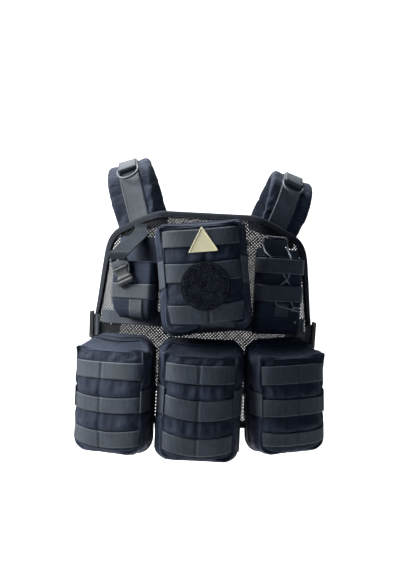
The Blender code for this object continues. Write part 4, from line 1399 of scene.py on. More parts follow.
@dataclass
class NetPanel:
    """A panel of open net with tape folded over its edge."""

    name: str
    binding: str
    place: Place
    edge: tuple[EdgeRow, ...]
    top: tuple[EdgeRow, ...]
    thread_width: float
    thread_depth: float = 1.0 * MM
    pitch: float = 5.8 * MM
    weave_lift: float = 0.45 * MM
    sample: float = 9.0 * MM
    margin: float = 3.0 * MM
    cover: float = 8.0 * MM
    slot: float = 2.3 * MM
    tape: float = 1.0 * MM

    def crest(self, along: float) -> float:
        """The height of the top edge."""
        return top_at(self.top, abs(along))

    def inside(self, along: float, z: float, margin: float) -> bool:
        """Whether a place lies on the panel, this far from its edge.

        Args:
            along: The distance from the middle.
            z: The height.
            margin: How far inside the edge it has to lie.

        Returns:
            True where it does.
        """
        if z < self.edge[0].z + margin or z > self.crest(along) - margin:
            return False
        return abs(along) < from_table(self.edge, z) - margin

    def outline(self) -> list[Flat]:
        """The edge as (along, z), once round, evened out.

        Returns:
            The points, in order.
        """
        foot = self.edge[0].z
        corner = self.edge[-1].z
        half = from_table(self.edge, foot)
        step = 4.0 * MM
        marks: list[Flat] = []
        count = int(2 * half / step)
        marks += [(-half + 2 * half * k / count, foot) for k in range(count)]
        count = int((corner - foot) / step)
        rise = [foot + (corner - foot) * k / count for k in range(count)]
        marks += [(from_table(self.edge, z), z) for z in rise]
        wide = from_table(self.edge, corner)
        count = int(2 * wide / step)
        ways = [wide - 2 * wide * k / count for k in range(count)]
        marks += [(s, self.crest(s)) for s in ways]
        marks += [(-from_table(self.edge, z), z) for z in (corner - (z - foot) for z in rise)]
        for _ in range(6):
            marks = [
                ((a[0] + 2 * b[0] + c[0]) / 4, (a[1] + 2 * b[1] + c[1]) / 4)
                for a, b, c in zip(marks[-1:] + marks[:-1], marks, marks[1:] + marks[:1])
            ]
        return marks

    def normal(self, along: float, z: float) -> Vector:
        """The direction away from the wearer."""
        return (self.place(along, z, 1.0) - self.place(along, z, 0.0)).normalized()

    def net(self) -> Object:
        """Two sets of threads that cross on the slant.

        Returns:
            The net, cut off at the binding.
        """
        points: list[Vector] = []
        edges: list[tuple[int, int]] = []
        reach, rise = 0.32, 0.45
        foot = self.edge[0].z
        count = int(2 * reach / self.pitch)
        for slant in (1.0, -1.0):
            lift = self.weave_lift * slant
            for k in range(-count, count):
                start = k * self.pitch
                last = -1
                for n in range(int(rise / self.sample)):
                    z = foot + n * self.sample
                    along = start + slant * (z - foot)
                    if not self.inside(along, z, self.margin):
                        last = -1
                        continue
                    points.append(self.place(along, z, lift))
                    if last >= 0:
                        edges.append((last, len(points) - 1))
                    last = len(points) - 1
        mesh = bpy.data.meshes.new(self.name)
        mesh.from_pydata(points, edges, [])
        sizes = {"Thread width": self.thread_width, "Thread depth": self.thread_depth}
        return grown(f"{self.name}_net", mesh, RowTrees.threads(NET_YARN), sizes)

    def fold(self) -> tuple[Object, list[Seam]]:
        """The tape folded over the edge, and the seams that hold it.

        Returns:
            The tape and its two seams.
        """
        marks = self.outline()
        rings = []
        lines = {1.0: Seam([], []), -1.0: Seam([], [])}
        skin = self.slot + self.tape
        for k, (along, z) in enumerate(marks):
            before, after = marks[k - 1], marks[(k + 1) % len(marks)]
            run = Vector((after[0] - before[0], after[1] - before[1])).normalized()
            inward = Vector((-run.y, run.x))
            here = self.place(along, z, 0.0)
            near = self.place(along + inward.x * MM, z + inward.y * MM, 0.0)
            turn_in = (near - here).normalized()
            out = self.normal(along, z)
            pucker = 0.25 * MM * noise.noise(Vector((k * 0.9, z * 60, 3.0)))
            face = skin + pucker
            width = self.cover + 0.4 * MM * noise.noise(Vector((k * 0.35, 1.0, along * 9)))
            profile = (
                (width, self.slot), (0.6 * MM, self.slot), (0.0, 0.0), (0.6 * MM, -self.slot),
                (width, -self.slot), (width + 0.3 * MM, -face + 0.4 * MM),
                (width - 0.5 * MM, -face),
                (1.5 * MM, -face), (-0.8 * MM, -face * 0.75), (-1.3 * MM, 0.0),
                (-0.8 * MM, face * 0.75), (1.5 * MM, face), (width - 0.5 * MM, face),
                (width + 0.3 * MM, face - 0.4 * MM),
            )
            rings.append([here + turn_in * a + out * b for a, b in profile])
            seat = here + turn_in * (self.cover - 2.0 * MM)
            for sign, seam in lines.items():
                seam.line.append(seat + out * (sign * (face + 0.1 * MM)))
                seam.outs.append(out * sign)
        worn = [1.0, 0, 0, 0, 1.0, 1.0, 0.3, 0, 0.5, 1.0, 0.5, 0, 0.3, 1.0]
        tape = loft(self.binding, rings, GROSGRAIN, closed=True, worn=worn)
        return tape, [Seam(s.line + s.line[:1], s.outs + s.outs[:1]) for s in lines.values()]

    def build(self) -> None:
        """Make the net, its tape and its stitches, and give them their places."""
        net = place_piece(self.net(), [self.name], "net")
        tape, seams = self.fold()
        tape.name = f"{self.binding}_tape"
        place_piece(tape, [self.binding], "tape")
        place_piece(STITCHES.along(f"{self.binding}_stitches", seams))
        wide = 2 * max(row.half for row in self.edge)
        high = max(row.z for row in self.top) - self.edge[0].z


@dataclass
class WaistRow:
    """The webbing sewn across the front panel at the waist."""

    low: float = -0.2855
    high: float = -0.2600
    half: float = 0.188
    lift: float = 2.1 * MM
    cell: float = 38.0 * MM
    swell: float = 0.35 * MM
    seam_inset: float = 2.0 * MM

    def build(self) -> None:
        """Make the webbing and its vertical stitch lines."""
        stations = []
        middle = (self.low + self.high) / 2
        count = 94
        for k in range(count + 1):
            along = -self.half + 2 * self.half * k / count
            puff = self.swell * (1 - math.cos(TURN * along / self.cell)) / 2
            place = TORSO.front(along, middle, self.lift + WEBBING / 2 + puff)
            stations.append(
                Station(place, UP.copy(), TORSO.outward(along), (self.high - self.low) / 2)
            )
        place_piece(STRAP.build("waist_webbing", stations), ["panel_row"], "webbing")
        seams = []
        for n in range(-5, 6):
            along = (n + 0.5) * self.cell
            if abs(along) > self.half:
                continue
            out = TORSO.outward(along)
            lift = self.lift + WEBBING + GAP
            ends = (self.low + self.seam_inset, self.high - self.seam_inset)
            line = [TORSO.front(along, z, lift) for z in ends]
            seams.append(Seam(line, [out, out]))
        place_piece(STITCHES.along("waist_webbing_stitches", seams))


@dataclass(frozen=True)
class PadRow:
    """One section of a shoulder pad's outer face: its neck edge and its arm edge."""

    neck: Spot
    arm: Spot


@dataclass
class Shoulder:
    """A padded shoulder strap with its webbing, keeper and D-ring."""

    side: str
    lift: float
    front: tuple[EdgeRow, ...] = edge_rows(
        (-0.106, 0.087), (-0.132, 0.157), (-0.084, 0.091), (-0.113, 0.163)
    )
    arch: tuple[PadRow, ...] = (
        PadRow((0.101, -0.105, -0.036), (0.176, -0.090, -0.066)),
        PadRow((0.1105, -0.088, 0.000), (0.1880, -0.079, -0.030)),
        PadRow((0.117, -0.042, 0.021), (0.1935, -0.040, -0.006)),
        PadRow((0.1155, 0.014, 0.0185), (0.1915, 0.012, -0.0075)),
        PadRow((0.1050, 0.066, -0.009), (0.1750, 0.056, -0.035)),
    )
    back: tuple[EdgeRow, ...] = edge_rows(
        (-0.064, 0.089), (-0.085, 0.152), (-0.088, 0.086), (-0.108, 0.146)
    )
    sink: float = 6.0 * MM
    back_sink: float = 8.0 * MM
    thick: float = 10.0 * MM
    over_chest: float = 0.12
    strap_width: float = 38.0 * MM
    ring_wire: float = 4.2 * MM
    ring_inside: float = 35.0 * MM
    ring_drop: float = 27.0 * MM
    ring_neck: float = 6.0 * MM
    ring_reach: float = 46.0 * MM
    keeper_width: float = 33.0 * MM
    keeper_play: float = 0.45 * MM
    keeper_tail: float = 62.0 * MM
    keeper_set_back: float = 9.0 * MM
    keeper_seam_inset: float = 3.0 * MM
    strap_seam_inset: float = 2.5 * MM
    aim: float = 0.004
    walk: float = 0.002
    lean_out: float = 9.0 * MM
    thin_neck: float = 5.5 * MM

    def __post_init__(self) -> None:
        """Work out the two rails that the pad's outer face runs between."""
        raised = Vector((0.0, 0.0, self.lift))
        turned = Vector((SIGN[self.side], 1.0, 1.0))
        rails = []
        for first, edge in ((0, "neck"), (1, "arm")):
            rail = [TORSO.front(row.half, row.z, -self.sink) for row in self.front[first::2]]
            rail += [Vector(getattr(row, edge)) + raised for row in self.arch]
            rail += [TORSO.back(row.half, row.z, -self.back_sink) for row in self.back[first::2]]
            rails.append([p * turned for p in rail])
        self.neck, self.arm = rails

    def axes(self, share: float) -> tuple[Vector, Vector, Vector, Vector]:
        """(middle, across, along, out) of the outer face at a share of the way.

        Args:
            share: From 0 on the chest to 1 on the back.

        Returns:
            The middle and three unit directions.
        """
        here, ahead, behind = (
            [smooth(rail, s) for rail in (self.neck, self.arm)]
            for s in (share, min(share + self.aim, 1.0), max(share - self.aim, 0.0))
        )
        across = (here[1] - here[0]).normalized()
        along = (ahead[0] + ahead[1] - behind[0] - behind[1]).normalized()
        out = along.cross(across).normalized()
        away = Vector((0.0, here[0].y, self.over_chest))
        return (here[0] + here[1]) / 2, across, along, facing(out, away)

    def width(self, share: float) -> float:
        """The width of the pad at a share of the way."""
        return (smooth(self.arm, share) - smooth(self.neck, share)).length

    def at(self, share: float, across: float, height: float) -> Vector:
        """A point over the outer face."""
        middle, side, _, out = self.axes(share)
        return middle + side * across + out * height

    def share_ahead(self, reach: float) -> float:
        """The share of the way that lies this far in front of the crest.

        Args:
            reach: How far in front of the crest, or behind it where negative.

        Returns:
            The share.
        """
        step = -math.copysign(self.walk, reach)
        share = 0.5
        last = self.axes(share)[0]
        travelled = 0.0
        while travelled < abs(reach):
            share += step
            here = self.axes(share)[0]
            travelled += (here - last).length
            last = here
        return share

    def pad_side(self, half: float, share: float, arm_side: bool) -> list[Spot]:
        """(across, height, held) round one side of the pad.

        Args:
            half: Half the pad's width.
            share: The share of the way from the chest to the back.
            arm_side: Whether this is the side by the arm, which runs wider at the chest.

        Returns:
            The points from under the webbing round the edge to the inner face, all on the
            positive side.
        """
        strap = self.strap_width / 2
        shift = self.lean_out * ease(1 - 2 * share) * (1 if arm_side else -1)
        half += shift
        wide = half - strap
        thick = self.thick - (0.0 if arm_side else self.thin_neck * ease(1.2 - 2 * share))
        end = 1 - 0.35 * (bump_at(share, 0.0, 0.04) + bump_at(share, 1.0, 0.04))
        rows = [(0.5 * strap, 0.0, 1.0), (0.95 * strap, 0.0, 1.0)]
        rows.append((strap + 0.10 * wide, -0.3 * MM, 0.8))
        for s, h in ((0.34, 0.9), (0.56, 1.1), (0.76, 0.4), (0.90, -1.3), (0.98, -3.3)):
            rows.append((strap + s * wide, h * MM * end, 0.0))
        rows.append((half, -thick / 2, 0.5))
        for s, h in ((0.98, 3.0), (0.88, 1.2), (0.66, 0.2), (0.3, 0.0)):
            rows.append((strap + s * wide, -thick + h * MM, 0.15))
        for a in (0.8, 0.3):
            rows.append((a * strap, -thick, 0.6))
        return rows

    def pad_section(self, half: float, share: float) -> list[Spot]:
        """(across, height, held) round the pad: sewn down under the webbing, puffed beside it.

        Args:
            half: Half the pad's width.
            share: From 0 on the chest to 1 on the back.

        Returns:
            The points once round.
        """
        neck = self.pad_side(half, share, False)
        return (
            [(0.0, 0.0, 1.0)] + self.pad_side(half, share, True)
            + [(-a, h, held) for a, h, held in reversed(neck)]
        )

    def pad(self) -> Object:
        """The padded strap, settled as cloth between its seams.

        Returns:
            The pad.
        """
        rings, held, worn = [], [], []
        stations = 96
        for k in range(stations + 1):
            share = k / stations
            half = self.width(share) / 2
            section = self.pad_section(half, share)
            firm = max(bump_at(share, 0.0, 0.03), bump_at(share, 1.0, 0.03))
            rings.append([self.at(share, a, h) for a, h, _ in section])
            held += [max(w, firm) for _, _, w in section]
            worn = [bump_at(h, -self.thick / 2, 3 * MM) for _, h, _ in section]
        made = loft(f"shoulder_padding_{self.side}", rings, CORDURA, worn=worn, angle=80)
        Settling(grow=0.035, pressure=2.5, gravity=0.2, cap=3.5 * MM).settle(made, held)
        return refine(made)

    def webbing(self) -> Object:
        """The main webbing over the pad.

        Returns:
            The webbing.
        """
        stations = []
        count = 110
        for k in range(count + 1):
            share = k / count
            middle, across, _, out = self.axes(share)
            stations.append(
                Station(middle + out * (GAP + WEBBING / 2), across, out, self.strap_width / 2)
            )
        return STRAP.build(f"shoulder_strap_{self.side}", stations)

    def ring_axes(self) -> tuple[Vector, Vector, Vector, Vector]:
        """(centre of the bar, across, down, out) of the D-ring.

        Returns:
            The centre and three unit directions.
        """
        share = self.share_ahead(self.ring_reach)
        middle, across, along, out = self.axes(share)
        down = (-along).normalized()
        away = facing(across.cross(down).normalized(), out)
        height = 2 * (GAP + WEBBING) + self.keeper_play + self.ring_wire / 2
        return middle + away * height, across, down, away

    def ring(self) -> Object:
        """The D-ring: a straight bar and a round bow, moulded in one.

        Returns:
            The ring.
        """
        centre, across, down, out = self.ring_axes()
        half = (self.ring_inside + self.ring_wire) / 2
        corner = 3.0 * MM
        bends = [Vector((half + corner * (c - 1), corner * (1 + s)))
                 for c, s in arc(-TURN / 6, 0, 2)]
        path = [Vector((a, 0.0)) for a in (-half + corner, -half / 3, half / 3, half - corner)]
        path += bends
        for c, s in arc(0, math.pi, 32):
            drop = self.ring_neck + (self.ring_drop - self.ring_neck) * s
            path.append(Vector((half * c, drop)))
        path += [Vector((-bend.x, bend.y)) for bend in reversed(bends)]
        rings = []
        sides = 14
        for k, here in enumerate(path):
            before, after = path[k - 1], path[(k + 1) % len(path)]
            heading = (after - before).normalized()
            normal = Vector((heading.y, -heading.x))
            wire = []
            for c, s in arc(0, TURN, sides, True):
                spot = here + normal * (self.ring_wire / 2 * c)
                rise = self.ring_wire / 2 * s
                wire.append(centre + across * spot.x + down * spot.y + out * rise)
            rings.append(wire)
        return loft(f"d_ring_moulded_{self.side}", rings, RING_ACETAL, closed=True)

    def keeper(self) -> tuple[Object, list[Seam]]:
        """Webbing doubled over the shoulder and folded round the ring's bar, and its seams.

        Returns:
            The webbing and its seams.
        """
        centre, ring_across, down, ring_out = self.ring_axes()
        inner = self.ring_wire / 2 + self.keeper_play
        bend = inner + WEBBING / 2
        half = self.keeper_width / 2
        low = GAP + WEBBING + GAP
        first = self.ring_reach - self.keeper_set_back
        shares = [self.share_ahead(first - self.keeper_tail * k / 14) for k in range(15)]
        stations = []
        for share in reversed(shares):
            middle, side, _, out = self.axes(share)
            stations.append(Station(middle + out * (low + WEBBING / 2), side, -out, half))
        for c, s in arc(-TURN / 4, TURN / 4, 12):
            away = down * c + ring_out * s
            stations.append(Station(centre + away * bend, ring_across, away, half))
        line, outs = [], []
        top = low + WEBBING + GAP + WEBBING / 2
        for share in shares:
            middle, side, _, out = self.axes(share)
            stations.append(Station(middle + out * top, side, out, half))
            line.append((middle, side, out))
        seams = []
        lift = top + WEBBING / 2 + SEAM_LIFT
        edges = (-half + self.keeper_seam_inset, half - self.keeper_seam_inset)
        for a in edges:
            seams.append(Seam([m + s * a + o * lift for m, s, o in line], [o for _, _, o in line]))
        for m, s, o in (line[0], line[-2]):
            ends = [m + s * a + o * lift for a in edges]
            seams.append(Seam(ends, [o, o]))
        return STRAP.build(f"ring_keeper_webbing_{self.side}", stations), seams

    def build(self) -> None:
        """Make every piece of the shoulder."""
        pad = place_piece(self.pad(), [f"shoulder_pad_{self.side}"], "cordura")
        place_piece(self.webbing(), [f"shoulder_webbing_{self.side}"], "webbing")
        place_piece(self.ring(), [f"d_ring_{self.side}"], "acetal", body=f"d_ring_{self.side}")
        keeper, seams = self.keeper()
        place_piece(keeper, [f"ring_keeper_{self.side}"], "webbing")
        shares = [k / 80 for k in range(81)]
        lift = GAP + WEBBING + 0.2 * MM
        edge = self.strap_width / 2 - self.strap_seam_inset
        for a in (-edge, edge):
            seams.append(
                Seam([self.at(s, a, lift) for s in shares], [self.axes(s)[3] for s in shares])
            )
        place_piece(STITCHES.along(f"shoulder_stitches_{self.side}", seams))


# The large pouches


def half_width(width: float, height: float, radius: float, v: float) -> float:
    """Half the width of a round-cornered rectangle at a height from its middle."""
    into = max(0.0, abs(v) - (height / 2 - radius))
    return width / 2 - radius + math.sqrt(max(0.0, radius * radius - into * into))


@dataclass
class LargePouch:
    """A zipped pouch: a shaped face and gusset, webbing rows, a welt and a zip."""

    name: str
    along: float
    z: float
    roll: float
    face_width: float
    face_height: float
    base_width: float
    base_height: float
    base_drop: float
    depth: float
    puff: float
    face_round: float
    base_round: float
    seat: float
    bands: tuple[Flat, ...]
    side_band: Flat
    face_shift: float = 0.0
    middle_seam: float = -0.05
    sags: Spot = (0.003, 0.002, 0.0)
    tab_columns: Flat = (2.0, 2.0)
    slider_at: float = -1.0
    slack: float = 0.035
    seed: float = 0.0
    crown: float = 3.0 * MM
    pillow: float = 3.0 * MM
    bulge: float = 4.5 * MM
    edge_fall: float = 9.0 * MM
    lip: float = 3.5 * MM
    droop: float = 0.0
    ridge: float = 2.8 * MM
    ridge_at: float = 0.90
    groove: float = 3.2 * MM
    groove_at: float = 0.66
    overhang: float = 3.4 * MM
    overhang_at: float = 0.92
    unevenness: float = 1.6 * MM
    corner_droop: float = 3.0 * MM
    extra_sag: float = 1.7
    top_sag: float = 3.0 * MM
    top_sag_power: int = 4
    zip_at: float = 0.15
    zip_foot: float = -0.62
    piping_foot: float = -0.85
    band_lift: float = 0.5 * MM
    band_puff: float = 1.3 * MM
    band_end_seam: float = 0.93
    band_seam_inset: float = 2.0 * MM
    side_lift: float = 0.45 * MM
    back_margin: float = 2.0 * MM
    columns: int = 30
    rows: int = 40
    rings: int = 14

    def __post_init__(self) -> None:
        """Set the pouch on the chest and choose the rows of its grid."""
        out = self.seat + HALF_PANEL + BACK_WALL + GAP
        self.axes = Axes.on_chest(self.along, self.z, self.roll, out)
        half = self.face_height / 2
        marks = [-half, half]
        for k in range(1, self.rows):
            share = k / self.rows
            marks.append(half * -math.cos(math.pi * share) * 0.30 + half * (2 * share - 1) * 0.70)
        self.levels = sorted(marks)
        self.places = [math.sin(math.pi / 2 * (2 * k / self.columns - 1)) * 0.35
                       + (2 * k / self.columns - 1) * 0.65 for k in range(self.columns + 1)]

    def between_bands(self, v: float) -> float:
        """0 on a band and from 0 to 1 across a gap between two bands.

        Args:
            v: The height on the face.

        Returns:
            The share of the gap, or 0.
        """
        for (_, low), (high, _) in zip(self.bands, self.bands[1:]):
            if low < v < high:
                return (v - low) / (high - low)
        return 0.0

    def hung(self, u: float) -> list[Flat]:
        """The lower and upper edge of each webbing row, which hangs between its ends."""
        drops = [sag * (1 - u * u) for sag in self.sags]
        return [(low - d, high - d) for (low, high), d in zip(self.bands, drops)]

    def open_stretches(self) -> list[Flat]:
        """The stretches of the middle seam that no webbing row covers.

        Returns:
            The lower and upper end of each.
        """
        rows = self.hung(self.middle_seam)
        marks = [-self.face_height / 2, *(v for row in rows for v in row), self.face_height / 2]
        edge = 2.5 * MM
        return [(a + edge, b - edge) for a, b in zip(marks[::2], marks[1::2]) if b - a > 3 * edge]

    def on_band(self, u: float, v: float) -> float:
        """1 under a webbing row and 0 in the open."""
        edge = 1.5 * MM
        return 1.0 if any(low - edge < v < high + edge for low, high in self.hung(u)) else 0.0

    def bulging(self, u: float, v: float) -> float:
        """How far the cloth bulges between two webbing rows, steep above the lower one.

        Args:
            u: From -1 to 1 across the face.
            v: The height on the face.

        Returns:
            The share of the whole bulge.
        """
        rows = self.hung(u)
        for (_, low), (high, _) in zip(rows, rows[1:]):
            if low < v < high:
                share = ((v - low) / (high - low)) ** 0.6
                ripple = 1 + 0.3 * noise.noise(Vector((u * 3, v * 9, self.seed)))
                crease = 1 - 0.75 * bump_at(u, self.middle_seam, 0.07)
                return math.sin(math.pi * share) * (1 - u**4) * ripple * crease
        return 0.0

    def form(
        self, u: float, v: float, f: float, sharpen: float = 0.0, sagging: float = 1.0
    ) -> Spot:
        """(u, v, d) of the plain form, before its face is crowned.

        Args:
            u: From -1 to 1 across the face.
            v: A height on the face.
            f: From the back at 0 to the face at 1.
            sharpen: How much of the corners' roundness goes.
            sagging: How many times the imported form's sag the top has.

        Returns:
            The place in the pouch's own axes.
        """
        share = v / (self.face_height / 2)
        height = between(self.base_height, self.face_height, f)
        swell = 4 * f * (1 - f)
        width = between(self.base_width, self.face_width, f) + 2 * self.puff * swell
        radius = between(self.base_round, self.face_round, f) * (1 - sharpen)
        here = share * height / 2
        half = half_width(width, height, radius, here)
        sag = self.top_sag * swell * (1 - u * u) * max(0.0, share) ** self.top_sag_power
        across = u * half + self.face_shift * f
        return across, here + self.base_drop * (1 - f) - sagging * sag, f * self.depth

    def local(self, u: float, v: float, f: float) -> Spot:
        """(u, v, d) of the surface: u from -1 to 1, v a face height, f from back to front.

        Args:
            u: From -1 to 1 across the face.
            v: The height on the face.
            f: From the back at 0 to the face at 1.

        Returns:
            The place in the pouch's own axes.
        """
        across, up, deep = self.form(u, v, f)
        share = v / (self.face_height / 2)
        if f == 1.0:
            crown = (1 - u * u) * (1 - share * share)
            fill = math.sin(math.pi * min(1.0, max(0.0, self.between_bands(v))))
            deep += self.crown * crown + self.pillow * fill * (1 - u * u)
        return across, up, deep

    def at(self, u: float, v: float, f: float) -> Vector:
        """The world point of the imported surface."""
        return self.axes.at(*self.local(u, v, f))

    def quiet(self, u: float, v: float) -> float:
        """How freely the gusset folds: not under its webbing.

        Args:
            u: From -1 to 1 across the face.
            v: The height on the face.

        Returns:
            From 0 where it is held to 1 where it is free.
        """
        low, high = self.side_band
        outside = max(low - v, v - high, 0.0)
        free = ease(outside / (9 * MM)) if abs(u) > 0.99 else 1.0
        first, last = self.tab_columns
        if v < 0 and first - 0.1 < u < last + 0.1:
            free = 0.0
        return free

    def cloth(self, u: float, v: float, f: float) -> Vector:
        """The world point of the cloth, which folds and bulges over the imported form.

        Args:
            u: From -1 to 1 across the face.
            v: The height on the face.
            f: From the back at 0 to the face at 1.

        Returns:
            The point.
        """
        share = v / (self.face_height / 2)
        swell = 4 * f * (1 - f)
        sharpen = 0.8 * ease((share - 0.6) / 0.4) * ease(f)
        across, up, deep = self.form(u, v, f, sharpen, self.extra_sag)
        free = self.quiet(u, v)
        side, crest = abs(u) ** 12, max(0.0, share) ** 12
        foot = max(0.0, -share) ** 12
        if f < 1.0:
            way = Vector((across * 22, up * 22, f * 2.5 + self.seed * 7))
            uneven = noise.noise(way)
            ridge = self.ridge * bump_at(f, self.ridge_at, 0.08) * (1 + 0.6 * uneven)
            groove = self.groove * bump_at(f, self.groove_at, 0.13) * (1 + 1.5 * uneven)
            push = (ridge - groove) * free + self.unevenness * uneven * swell * free
            across += math.copysign(side * push, u)
            up += (0.5 * crest - 0.7 * foot) * push
            over = bump_at(f, self.overhang_at, 0.07) * free
            deep += self.overhang * over * (crest + 0.45 * side + 0.25 * foot)
            deep -= (self.edge_fall - self.lip) * f**3 * side
            up -= self.droop * swell * foot * (1 - 0.4 * u) * free
            across += math.copysign(self.overhang * 0.8 * over * side * crest, u)
        else:
            deep += self.crown * (1 - u * u) * (1 - share * share)
            deep += self.bulge * self.bulging(u, v)
            deep -= self.edge_fall * u**4 + 2.0 * MM * share**6
            up -= self.corner_droop * ease((share - 0.8) / 0.2)
        return self.axes.at(across, up, deep)

    def rim(self) -> list[Flat]:
        """(u, v) once round the face's edge.

        Returns:
            The places, in order.
        """
        us, vs = self.places, self.levels
        return (
            [(u, vs[0]) for u in us[:-1]] + [(us[-1], v) for v in vs[:-1]]
            + [(u, vs[-1]) for u in reversed(us[1:])] + [(us[0], v) for v in reversed(vs[1:])]
        )

    def gusset_hold(self, u: float, v: float, f: float) -> float:
        """How firmly a point of the gusset is held.

        Args:
            u: From -1 to 1 across the face.
            v: The height on the face.
            f: From the back at 0 to the face at 1.

        Returns:
            From 0 for free to 1 for sewn down.
        """
        if f < 0.08:
            return 1.0
        if self.quiet(u, v) < 0.1 or abs(f - self.zip_at) < 0.18:
            return 1.0
        return 0.9 if f > 0.97 else 0.04

    def shell(self) -> Object:
        """Face and gusset as one skin with its back edge turned in.

        Returns:
            The cloth, settled and refined.
        """
        draft = Draft()
        held: list[float] = []
        rim = self.rim()
        lengths = [0.0]
        for k in range(len(rim)):
            a, b = rim[k], rim[(k + 1) % len(rim)]
            lengths.append(lengths[-1] + (self.at(*b, 0.5) - self.at(*a, 0.5)).length)
        layers = []
        hem = [self.axes.at(*(c * 0.94 for c in self.local(u, v, 0.0)[:2]), 0.2 * MM)
               for u, v in rim]
        layers.append((draft.row(hem), -8 * MM))
        held += [1.0] * len(rim)
        for k in range(self.rings):
            f = ease(k / self.rings) * 0.3 + (k / self.rings) * 0.7
            layers.append((draft.row([self.cloth(u, v, f) for u, v in rim]), f * self.depth))
            held += [self.gusset_hold(u, v, f) for u, v in rim]
        index = {}
        face_rows = []
        for v in self.levels:
            edge_row = v in (self.levels[0], self.levels[-1])
            worn = [1.0 if edge_row or abs(u) == 1.0 else 0.0 for u in self.places]
            numbers = draft.row([self.cloth(u, v, 1.0) for u in self.places], worn)
            face_rows.append(numbers)
            for u, number in zip(self.places, numbers):
                index[u, v] = number
                seam = edge_row or abs(u) > 0.999
                sewn = 0.9 * bump_at(u, self.middle_seam, 0.05)
                held.append(0.9 if seam else max(self.on_band(u, v), sewn, 0.03))
        layers.append(([index[place] for place in rim], self.depth))
        for (low, low_d), (high, high_d) in zip(layers, layers[1:]):
            draft.strip(
                low, high, [(s, low_d) for s in lengths], [(s, high_d) for s in lengths], True
            )
        halves = [self.local(u, 0.0, 1.0)[0] for u in self.places]
        for k in range(len(face_rows) - 1):
            low_v, high_v = self.levels[k], self.levels[k + 1]
            draft.strip(
                face_rows[k], face_rows[k + 1], [(s, low_v) for s in halves],
                [(s, high_v) for s in halves],
            )
        made = draft.keep(f"{self.name}_cloth", CORDURA, angle=75)
        Settling(grow=self.slack, pressure=1.6, gravity=0.6, cap=4.5 * MM).settle(made, held)
        return refine(made)

    def round_path(self, low: float, f: float) -> list[tuple[Vector, Vector]]:
        """(place, outward) round the gusset, from one side over the top to the other.

        Args:
            low: The height on the face at which it starts and ends.
            f: How far forward it runs, from the back at 0 to the face at 1.

        Returns:
            The points, in order.
        """
        us, vs = self.places, self.levels
        marks = [(1.0, v) for v in vs if v > low] + [(u, vs[-1]) for u in reversed(us[1:-1])]
        marks += [(-1.0, v) for v in reversed(vs) if v > low]
        found = []
        centre = self.axes.at(0.0, 0.0, f * self.depth)
        for k, (u, v) in enumerate(marks):
            here = self.cloth(u, v, f)
            before = self.cloth(*marks[max(k - 1, 0)], f)
            after = self.cloth(*marks[min(k + 1, len(marks) - 1)], f)
            deep = (self.cloth(u, v, f + 0.05) - self.cloth(u, v, f - 0.05)).normalized()
            out = (after - before).normalized().cross(deep).normalized()
            found.append((here, facing(out, here - centre)))
        return found

    def piping(self, f: float, radius: float, label: str) -> Object:
        """A thin corded seam round the gusset.

        Args:
            f: How far forward it runs, from 0 to 1.
            radius: The cord's radius.
            label: The end of the piece's name.

        Returns:
            The piping.
        """
        path = self.round_path(self.piping_foot * self.face_height / 2, f)
        line = [here + out * (radius * 0.3) for here, out in path]
        return tube(f"{self.name}_piping_{label}", line, radius, CORDURA, path[0][1], 8)

    def back(self) -> Object:
        """The back wall: a plate of cloth with round corners and a soft edge.

        Returns:
            The wall.
        """
        half_u = self.base_width / 2 + self.back_margin
        half_v = self.base_height / 2 + self.back_margin
        low, high = (-half_u, self.base_drop - half_v), (half_u, self.base_drop + half_v)
        outline = round_box(low, high, self.base_round + self.back_margin, 8)
        return self.axes.wall(self.name, outline, self.base_drop)

    def band(self, place: str) -> tuple[Object, list[Seam]]:
        """A webbing row on the face, sewn at its ends and near its middle.

        Args:
            place: Which row it is: lower, middle or upper.

        Returns:
            The webbing and its seams.
        """
        stations = []
        seams = []
        middle = self.middle_seam
        number = ("lower", "middle", "upper").index(place)
        spots = [2 * k / 80 - 1 for k in range(81)]
        for u in spots:
            low, high = self.hung(u)[number]
            near, far = self.cloth(u, low, 1.0), self.cloth(u, high, 1.0)
            ends = []
            for there in (min(1.0, u + 0.03), max(-1.0, u - 0.03)):
                ends.append(self.cloth(there, sum(self.hung(there)[number]) / 2, 1.0))
            out = (ends[0] - ends[1]).cross((far - near).normalized()).normalized()
            sewn = max(bump_at(u, middle, 0.045), bump_at(abs(u), 1.0, 0.07))
            lift = self.band_lift + WEBBING / 2 + self.band_puff * (1 - sewn)
            stations.append(Station.spanning(near, far, facing(out, self.axes.d), lift))
        made = STRAP.build(f"{self.name}_webbing_{place}", stations)
        for spot in (-self.band_end_seam, middle, self.band_end_seam):
            s = stations[min(range(len(spots)), key=lambda k: abs(spots[k] - spot))]
            reach = s.half - self.band_seam_inset
            top = s.middle + s.out * (WEBBING / 2 + SEAM_LIFT)
            seams.append(Seam([top - s.across * reach, top + s.across * reach], [s.out, s.out]))
        return made, seams

    def side_webbing(self, u: float, side: str) -> Object:
        """Webbing round the gusset from the face to the zip.

        Args:
            u: 1 or -1, for the side it lies on.
            side: That side's name.

        Returns:
            The webbing.
        """
        low, high = self.side_band
        stations = []
        for k in range(17):
            f = between(0.40, 0.985, k / 16)
            near, far = self.cloth(u, low, f), self.cloth(u, high, f)
            run = self.cloth(u, low, min(0.99, f + 0.03)) - self.cloth(u, low, f - 0.03)
            out = facing(run.cross((far - near).normalized()).normalized(), self.axes.u * u)
            stations.append(Station.spanning(near, far, out, self.side_lift + WEBBING / 2))
        return STRAP.build(f"{self.name}_side_webbing_{side}", stations)

